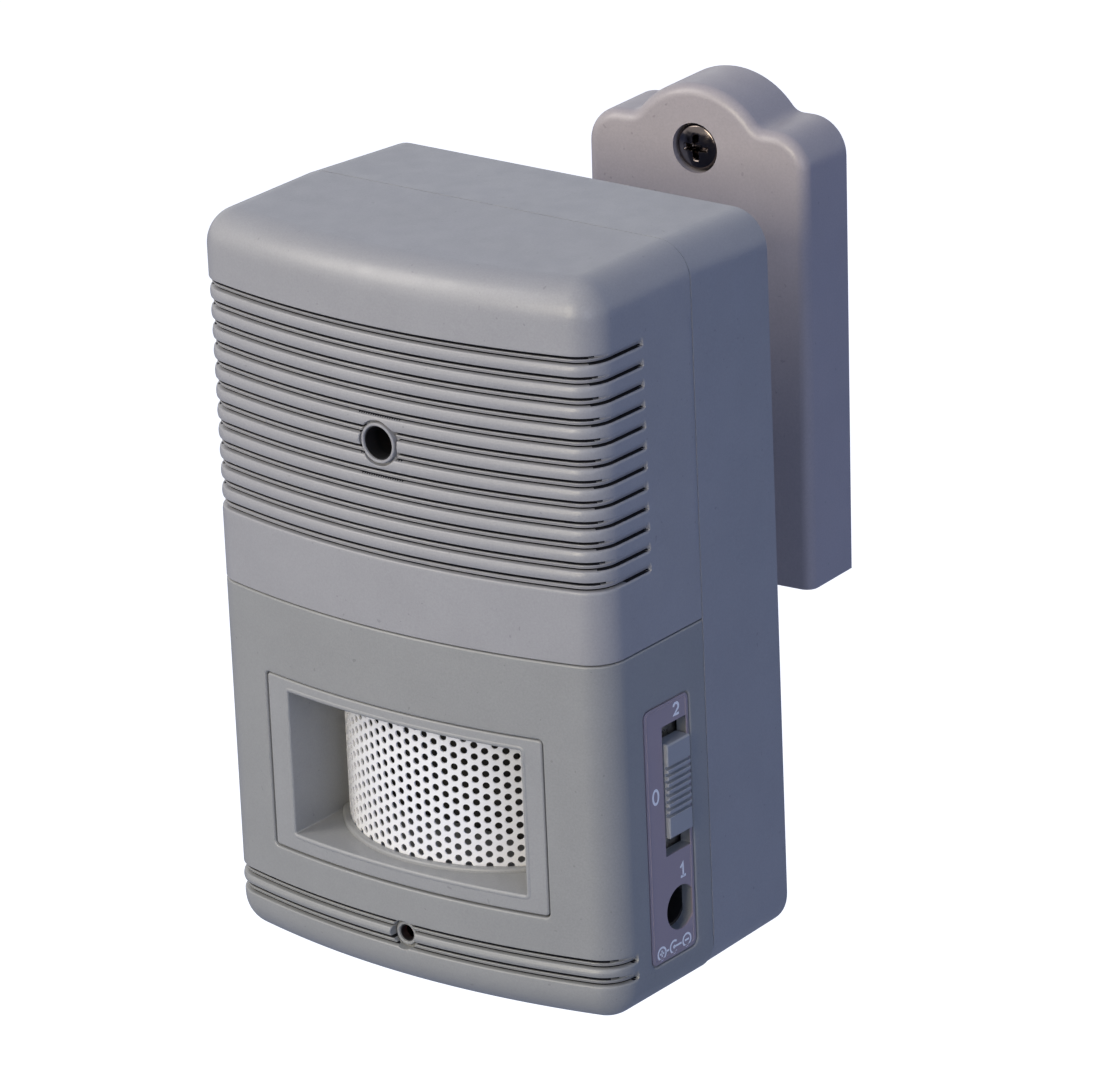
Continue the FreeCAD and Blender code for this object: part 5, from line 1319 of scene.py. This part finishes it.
@dataclass
class Controls:
    """Printed label with its lighter border, the slide switch's ridged knob and the jack's opening."""

    depth: float = -26.1
    slot_height: float = 31.9
    slot_size: tuple[float, float] = (6.0, 19.7)
    jack_height: float = 13.35
    jack_radius: float = 3.3
    jack_flat: float = 2.75
    face: float = 34.9
    recess_floor: float = 34.6
    plate: Box = (-33.15, -22.85, 6.55, 45.15)
    plate_corner: float = 0.95
    knob_size: tuple[float, float] = (5.4, 14.3)
    knob_top: float = 35.5
    knob_base: float = 33.15
    knob_round: float = 0.35
    ridge_depth: float = 0.55
    ridges: int = 8
    ridge_pitch: float = 1.03
    edge: float = 0.08

    def slot_loop(self, grow: float) -> np.ndarray:
        """The slot's outline in (u, z), grown by a distance."""
        u = PLAN.u_on_side(self.depth)
        a, b = self.slot_size[0] / 2 + grow, self.slot_size[1] / 2 + grow
        return rounded_loop(u - a, u + a, self.slot_height - b, self.slot_height + b, 0.15, 6, 12, 3)

    def jack_loop(self, grow: float) -> np.ndarray:
        """The jack opening's outline in (u, z): a circle cut off by its flat, grown by a distance."""
        u = PLAN.u_on_side(self.depth)
        loop = circle_loop(u, self.jack_height, self.jack_radius + grow, 64)
        loop[:, 0] = np.minimum(loop[:, 0], u + self.jack_flat + grow)
        return loop

    def plate_loop(self, grow: float) -> np.ndarray:
        """The label's outline in (u, z), grown by a distance."""
        return PLAN.side_loop(self.plate, self.plate_corner, grow)

    def side(self, plane: np.ndarray, x: float) -> np.ndarray:
        """Points (u, z) on the right side, at an x."""
        return PLAN.lift(plane, 35.0 - x)

    def wall(self, loop: Loop, grow: float) -> np.ndarray:
        """The label's edge along a loop: from its face, grown by a distance, rounded down to the floor."""
        levels = [(grow, self.face), (grow * 0.3, self.face - self.edge * 0.3), (0.0, self.face - self.edge),
                  (0.0, self.recess_floor)]
        return np.stack([self.side(loop(g), x) for g, x in levels])

    def label(self) -> None:
        """Builds the label plate: rounded edges, two holes, and a thin raised border."""
        patch = Patchwork()
        edge = self.edge
        holes = [self.slot_loop, self.jack_loop]
        patch.grid(self.wall(self.plate_loop, -edge), close=True, flip=True)
        patch.flat_fill([self.plate_loop(-edge)] + [h(edge) for h in holes], lambda p: self.side(p, self.face))
        for hole in holes:
            patch.grid(self.wall(hole, edge), close=True)
        patch.flat_fill([self.plate_loop(0.0)] + [h(0.0) for h in holes],
                        lambda p: self.side(p, self.recess_floor), flip=True)
        border = [(-0.40, 0.0), (-0.43, 0.05), (-0.62, 0.05), (-0.65, 0.0), (-0.65, -0.02), (-0.40, -0.02)]
        loops = [self.side(self.plate_loop(grow), self.face + rise) for grow, rise in border]
        patch.grid(np.stack(loops + loops[:1]), close=True)
        patch.build("control_label_plate", LABEL, Body.CHIME, ("control_label",))

    def knob(self) -> None:
        """Builds the knob: a ridged section carried across the slot, its ends rounded over.

        The section runs up one end, over the ridges, whose valleys are narrow and flat, and down again;
        towards each side it is drawn in along a quarter circle.
        """
        half = self.knob_size[1] / 2
        r = self.knob_round
        turn = np.linspace(0.0, math.pi / 2, 5)
        upper = [(half - r + r * math.cos(a), self.knob_top - r + r * math.sin(a)) for a in turn]
        section = [(half, self.knob_base)] + upper
        for index in reversed(range(self.ridges)):
            z = (index - (self.ridges - 1) / 2) * self.ridge_pitch
            deep, top = self.knob_top - self.ridge_depth, self.knob_top
            section += [(z + 0.34, top), (z + 0.28, top - 0.05), (z + 0.21, deep + 0.06), (z + 0.17, deep),
                        (z - 0.17, deep), (z - 0.21, deep + 0.06), (z - 0.28, top - 0.05), (z - 0.34, top)]
        section += [(-z, x) for z, x in reversed(upper)] + [(-half, self.knob_base)]
        profile = np.array(section)
        width = self.knob_size[0] / 2
        stations = [(-width, 0.25), (-width + 0.04, 0.12), (-width + 0.12, 0.03), (-width + 0.25, 0.0)]
        stations += [(-y, inset) for y, inset in reversed(stations)]
        rows = []
        for y, inset in stations:
            z = np.clip(profile[:, 0], -half + inset, half - inset) + self.slot_height
            x = np.minimum(profile[:, 1], self.knob_top - inset)
            rows.append(np.stack([x, np.full(len(x), self.depth + y), z], 1))
        patch = Patchwork()
        patch.grid(np.stack(rows), close=True)
        patch.loop_fill(rows[0], flip=True)
        patch.loop_fill(rows[-1])
        stem = rounded_loop(self.depth - 1.3, self.depth + 1.3, self.slot_height - 1.5, self.slot_height + 1.5,
                            0.1, 2, 2, 2)
        ends = [np.insert(stem, 0, x, axis=1) for x in (28.9, self.knob_base)]
        patch.grid(np.stack(ends), close=True)
        patch.loop_fill(ends[0], flip=True)
        patch.build("switch_knob_cap", KNOB, Body.KNOB, ("switch_knob",))

    def mark(self, patch: Patchwork, loops: list[np.ndarray]) -> None:
        """Adds one flat printed mark: plane loops (u, z) just above the label."""
        patch.flat_fill(loops, lambda p: self.side(p, self.face + 0.02))

    def ribbon(self, patch: Patchwork, path: np.ndarray, width: float) -> None:
        """Adds a printed line of even width along (y, z) places, mitred at its bends.

        Each side of it lies half the width from the path along the mean of the two directions' normals,
        and further at a bend, by one over the cosine of half the turn.

        Args:
            patch: Where it is added.
            path: The places, (n, 2).
            width: The line's width.
        """
        p = np.stack([PLAN.u_on_side(path[:, 0]), path[:, 1]], 1)
        along = np.diff(p, axis=0)
        along /= np.linalg.norm(along, axis=1)[:, None]
        before, after = np.concatenate([along[:1], along]), np.concatenate([along, along[-1:]])
        bend = before + after
        bend /= np.linalg.norm(bend, axis=1)[:, None]
        reach = width / 2 / np.maximum(np.sum(before * bend, axis=1), 0.5)
        offset = np.stack([-bend[:, 1], bend[:, 0]], 1) * reach[:, None]
        self.mark(patch, [np.concatenate([p + offset, (p - offset)[::-1]])])

    def stroke(self, patch: Patchwork, ends: tuple[tuple[float, float], tuple[float, float]], width: float) -> None:
        """Adds a straight printed line between two (y, z) places."""
        self.ribbon(patch, np.array(ends), width)

    def ring_mark(self, patch: Patchwork, y: float, z: float, radius: float, width: float) -> None:
        """Adds a printed circle about a (y, z) place."""
        u = PLAN.u_on_side(y)
        self.mark(patch, [circle_loop(u, z, radius + width / 2, 32), circle_loop(u, z, radius - width / 2, 32)])

    def figure_two(self, patch: Patchwork, y: float, z: float, wide: float, high: float, width: float) -> None:
        """Adds a 2 about a (y, z) place: an arc over the top, a slant to the foot and a bar along it."""
        r = wide / 2
        turn = np.radians(np.linspace(170.0, -35.0, 19))
        arch = np.stack([y + r * np.cos(turn), z + high / 2 - r + r * np.sin(turn)], 1)
        foot = np.array([(y - r + 0.12, z - high / 2), (y + r + 0.1, z - high / 2)])
        self.ribbon(patch, np.concatenate([arch, foot]), width)

    def figure_nought(self, patch: Patchwork, y: float, z: float, wide: float, high: float, width: float) -> None:
        """Adds a 0 about a (y, z) place: the ring between two ellipses."""
        turn = np.arange(40) * math.pi / 20
        u = PLAN.u_on_side(y)
        loops = [np.stack([u + (wide / 2 + g) * np.cos(turn), z + (high / 2 + g) * np.sin(turn)], 1)
                 for g in (width / 2, -width / 2)]
        self.mark(patch, loops)

    def figure_one(self, patch: Patchwork, y: float, z: float, high: float, width: float) -> None:
        """Adds a 1 about a (y, z) place: a short flag and an upright, with a bar at its foot."""
        top, foot = z + high / 2, z - high / 2
        self.ribbon(patch, np.array([(y - 0.6, top - 0.6), (y + 0.02, top), (y + 0.02, foot)]), width)
        self.stroke(patch, ((y - 0.6, foot), (y + 0.64, foot)), width)

    def print_marks(self) -> None:
        """Builds the printing: plain figures at the switch's three places and the plug's polarity sign."""
        patch = Patchwork()
        self.figure_two(patch, -25.7, 43.5, 1.15, 1.7, 0.42)
        self.figure_nought(patch, -31.1, 31.9, 1.25, 2.1, 0.4)
        self.figure_one(patch, -25.4, 18.9, 2.0, 0.4)
        sign, wide = 7.95, 0.32
        self.ring_mark(patch, -31.0, sign, 0.92, wide)
        self.stroke(patch, ((-31.5, sign), (-30.5, sign)), wide)
        self.stroke(patch, ((-31.0, sign - 0.5), (-31.0, sign + 0.5)), wide)
        self.stroke(patch, ((-29.85, sign), (-29.35, sign)), wide)
        self.arc_mark(patch, -28.1, sign, 0.92, wide)
        self.ring_mark(patch, -28.1, sign, 0.15, 0.28)
        self.stroke(patch, ((-27.9, sign), (-26.35, sign)), wide)
        self.ring_mark(patch, -25.1, sign, 0.92, wide)
        self.stroke(patch, ((-25.6, sign), (-24.6, sign)), wide)
        patch.build("label_printing", LETTER, Body.CHIME, closed=False)

    def arc_mark(self, patch: Patchwork, y: float, z: float, radius: float, width: float) -> None:
        """Adds a printed ring that is open on the right."""
        u = PLAN.u_on_side(y)
        turn = np.radians(np.linspace(50.0, 310.0, 25))
        out, back = (np.stack([u + r * np.cos(turn), z + r * np.sin(turn)], 1)
                     for r in (radius + width / 2, radius - width / 2))
        self.mark(patch, [np.concatenate([out, back[::-1]])])

    def build(self) -> None:
        """Builds the label, the knob and the printing."""
        self.label()
        self.knob()
        self.print_marks()


@dataclass
class WallScrews:
    """The two wall screws: crowned heads with a cross recess, plain necks, shanks and points.

    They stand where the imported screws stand; the upper one's shank is shorter, as none of it shows behind
    the arch in the photograph.
    """

    node: str = "wall_screws"
    head: float = 3.42
    face: float = 0.05
    crown: float = 0.55
    seat: float = 2.9
    neck: float = 1.7
    neck_end: float = 11.9
    shank: float = 1.9
    lengths: tuple[float, float] = (24.95, 18.5)
    arm: float = 2.1
    blade: float = 0.42
    recess: float = 1.5
    apex: float = 0.6
    tip_length: float = 3.8
    tip: float = 0.28

    def cross(self, x: np.ndarray, z: np.ndarray) -> np.ndarray:
        """Depth of the cross recess: two crossed bars with sloping walls, shallower towards their ends."""
        bars = [smoothstep(self.blade + 0.12, self.blade - 0.12, np.abs(p))
                * smoothstep(self.arm, self.arm * 0.55, np.abs(q)) for p, q in ((x, z), (z, x))]
        return self.recess * np.maximum(bars[0], bars[1])

    def screw(self, patch: Patchwork, middle: np.ndarray, front: float, length: float) -> None:
        """Adds one screw, turned about the depth axis from its head's middle to its point.

        The head's face sinks as crown times (r / head) squared, and rounds over into its side.

        Args:
            patch: Where it is added.
            middle: The axis's place (x, z).
            front: Where the wall plate's face lies along y.
            length: From under the head to the point.
        """
        turn = np.arange(120) * math.pi / 60
        radii = np.linspace(0.0, self.head - 0.25, 30)
        rings = [(r, self.face + self.crown * (r / self.head) ** 2) for r in radii]
        rings += [(self.head - 0.08, self.face + self.crown + 0.06), (self.head, self.face + self.crown + 0.25),
                  (self.head, self.seat), (self.neck, self.seat), (self.neck, self.neck_end),
                  (self.shank, self.neck_end + 0.1), (self.shank, self.seat + length - self.tip_length),
                  (self.tip, self.seat + length)]
        radius, depth = (np.array(v)[:, None] for v in zip(*rings))
        x, z = radius * np.cos(turn), radius * np.sin(turn)
        depth = depth + np.where(np.arange(len(rings))[:, None] < len(radii), self.cross(x, z), 0.0)
        grid = np.stack([middle[0] + x, front + depth, middle[1] + z], axis=-1)
        patch.grid(grid, close=True)
        patch.loop_fill(grid[-1])

    def build(self) -> None:
        """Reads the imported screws' places, builds both screws and puts them in their place."""
        packed = bpy.data.objects[self.node]
        flat = np.empty(len(packed.data.vertices) * 3)
        packed.data.vertices.foreach_get("co", flat)
        world = np.array(packed.matrix_world)
        points = (flat.reshape(-1, 3) @ world[:3, :3].T + world[:3, 3]) * 1e3
        patch = Patchwork()
        between = (points[:, 2].min() + points[:, 2].max()) / 2
        for side, length in zip((points[:, 2] < between, points[:, 2] >= between), self.lengths):
            low, high = points[side].min(axis=0), points[side].max(axis=0)
            self.screw(patch, ((low + high) / 2)[[0, 2]], float(low[1]) - self.apex, length)
        # The screws' steel is darkened as painted shade in their reflections.
        patch.build("wall_screw_pair", CHROME_PAINTED_SHADE, Body.WALL, (self.node,), carry=lambda p: p * 1e-3)


@dataclass
class Studio:
    """Pale floor, soft lamps, world light and the camera at the photograph's angle."""

    azimuth: float = 38.144
    elevation: float = 20.769
    roll: float = -2.460
    distance: float = 1022.421
    focal_pixels: float = 7224.603
    image_width: float = 1111.0
    target: tuple[float, float, float] = (10.310, -20.0, 61.981)
    floor_drop: float = 0.16
    floor_colour: Colour = (0.40, 0.44, 0.52)
    floor_lift: float = 0.95
    sky: Colour = (0.30, 0.47, 1.0)
    sky_strength: float = 0.36
    middle: tuple[float, float, float] = (0.004, -0.06, -0.015)
    sensor: float = 36.0

    def camera(self) -> None:
        """Sets the camera: it stands on a ray from the target and looks back along it, rolled a little."""
        a, e, r = (math.radians(v) for v in (self.azimuth, self.elevation, self.roll))
        back = np.array([math.sin(a) * math.cos(e), -math.cos(a) * math.cos(e), math.sin(e)])
        spot = np.array(self.target) + back * self.distance
        right = np.cross(-back, [0.0, 0.0, 1.0])
        right /= np.linalg.norm(right)
        up = np.cross(right, -back)
        across = right * math.cos(r) + up * math.sin(r)
        above = -right * math.sin(r) + up * math.cos(r)
        turn = PLACE.matrix()[:3, :3] * 1e3
        pose = np.eye(4)
        pose[:3, :3] = turn @ np.column_stack([across, above, back])
        pose[:3, 3] = PLACE.carry(spot)
        lens = bpy.data.cameras.new("camera")
        lens.sensor_fit = "HORIZONTAL"
        lens.sensor_width = self.sensor
        lens.lens = self.focal_pixels / self.image_width * self.sensor
        lens.clip_start, lens.clip_end = 0.01, 20.0
        holder = bpy.data.objects.new("camera", lens)
        holder.matrix_world = Matrix(pose.tolist())
        bpy.context.scene.collection.objects.link(holder)
        bpy.context.scene.camera = holder

    def lamp(self, name: str, towards: tuple[float, float, float], distance: float, size: tuple[float, float],
             strength: float, colour: Colour) -> None:
        """One soft rectangular lamp that faces the object.

        Args:
            name: The lamp's name.
            towards: Direction from the object to it.
            distance: Metres from the object.
            size: Its two sides, in metres.
            strength: How bright it makes a white surface that faces it, where 1 is white.
            colour: Its linear colour.
        """
        direction = Vector(towards).normalized()
        data = bpy.data.lights.new(name, "AREA")
        data.shape = "RECTANGLE"
        data.size, data.size_y = size
        data.color = colour
        data.energy = strength * math.pi * math.pi * distance ** 2
        holder = bpy.data.objects.new(name, data)
        holder.location = Vector(self.middle) + direction * distance
        holder.rotation_euler = direction.to_track_quat("Z", "Y").to_euler()
        bpy.context.scene.collection.objects.link(holder)

    def lamps(self) -> None:
        """A warm front softbox, one on the left whose sheen lies along the hood, and a weak one on the right."""
        self.lamp("front softbox", (0.0, -0.95, 0.32), 1.3, (0.5, 0.5), 0.55, (1.0, 0.90, 0.70))
        self.lamp("left softbox", (-0.60, -0.57, 0.56), 1.1, (0.45, 0.60), 0.49, (1.0, 0.94, 0.84))
        self.lamp("right softbox", (0.84, -0.52, 0.15), 1.3, (0.6, 0.6), 0.14, (0.80, 0.84, 1.0))

    def world(self) -> None:
        """A pale world: white where it is seen or mirrored, dimmer and cooler as light."""
        world = bpy.data.worlds.new("studio")
        bpy.context.scene.world = world
        world.use_nodes = True
        tree = Tree(world.node_tree)
        light = tree.add("ShaderNodeBackground", {"Color": (*self.sky, 1.0), "Strength": self.sky_strength})
        seen = tree.add("ShaderNodeBackground", {"Color": (1.0, 1.0, 1.0, 1.0), "Strength": 1.0})
        path = tree.add("ShaderNodeLightPath").outputs
        either = tree.add("ShaderNodeMath", {0: path["Is Camera Ray"], 1: path["Is Transmission Ray"]},
                          operation="MAXIMUM")
        any_of = tree.add("ShaderNodeMath", {0: either.outputs[0], 1: path["Is Glossy Ray"]}, operation="MAXIMUM")
        mix = tree.add("ShaderNodeMixShader", {0: any_of.outputs[0], 1: light.outputs[0], 2: seen.outputs[0]})
        tree.add("ShaderNodeOutputWorld", {"Surface": mix.outputs[0]})

    def floor(self) -> None:
        """A wide pale floor below the object, lifted to white where the camera sees it unshaded."""
        z = min(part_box(name)[0][2] for name in frame["nodes"]) - self.floor_drop
        mesh = bpy.data.meshes.new("floor")
        half = 6.0
        mesh.from_pydata([(-half, -half, z), (half, -half, z), (half, half, z), (-half, half, z)], [], [(0, 1, 2, 3)])
        made = bpy.data.objects.new("floor", mesh)
        bpy.context.scene.collection.objects.link(made)
        material = bpy.data.materials.new("pale floor")
        material.use_nodes = True
        tree = Tree(material.node_tree)
        path = tree.add("ShaderNodeLightPath")
        lift = tree.add("ShaderNodeMath", {0: path.outputs["Is Camera Ray"], 1: self.floor_lift},
                        operation="MULTIPLY")
        shader = tree.add("ShaderNodeBsdfPrincipled", {
            "Base Color": (*self.floor_colour, 1.0), "Roughness": 0.9, "Specular IOR Level": 0.0,
            "Emission Color": (1.0, 1.0, 1.0, 1.0), "Emission Strength": lift.outputs[0]})
        tree.add("ShaderNodeOutputMaterial", {"Surface": shader.outputs["BSDF"]})
        made.data.materials.append(material)

    def build(self) -> None:
        """Sets up the whole studio."""
        self.camera()
        self.lamps()
        self.world()
        self.floor()
        bpy.context.scene.view_settings.view_transform = "Standard"
        log.info("studio ready")


def main() -> None:
    """Builds every sub-assembly in order, then the studio."""
    dress_nodes()
    UpperCover().build()
    LowerCover().build()
    WindowTray().build()
    Grille().build()
    Controls().build()
    WallScrews().build()
    Studio().build()


if __name__ == "__main__":
    main()
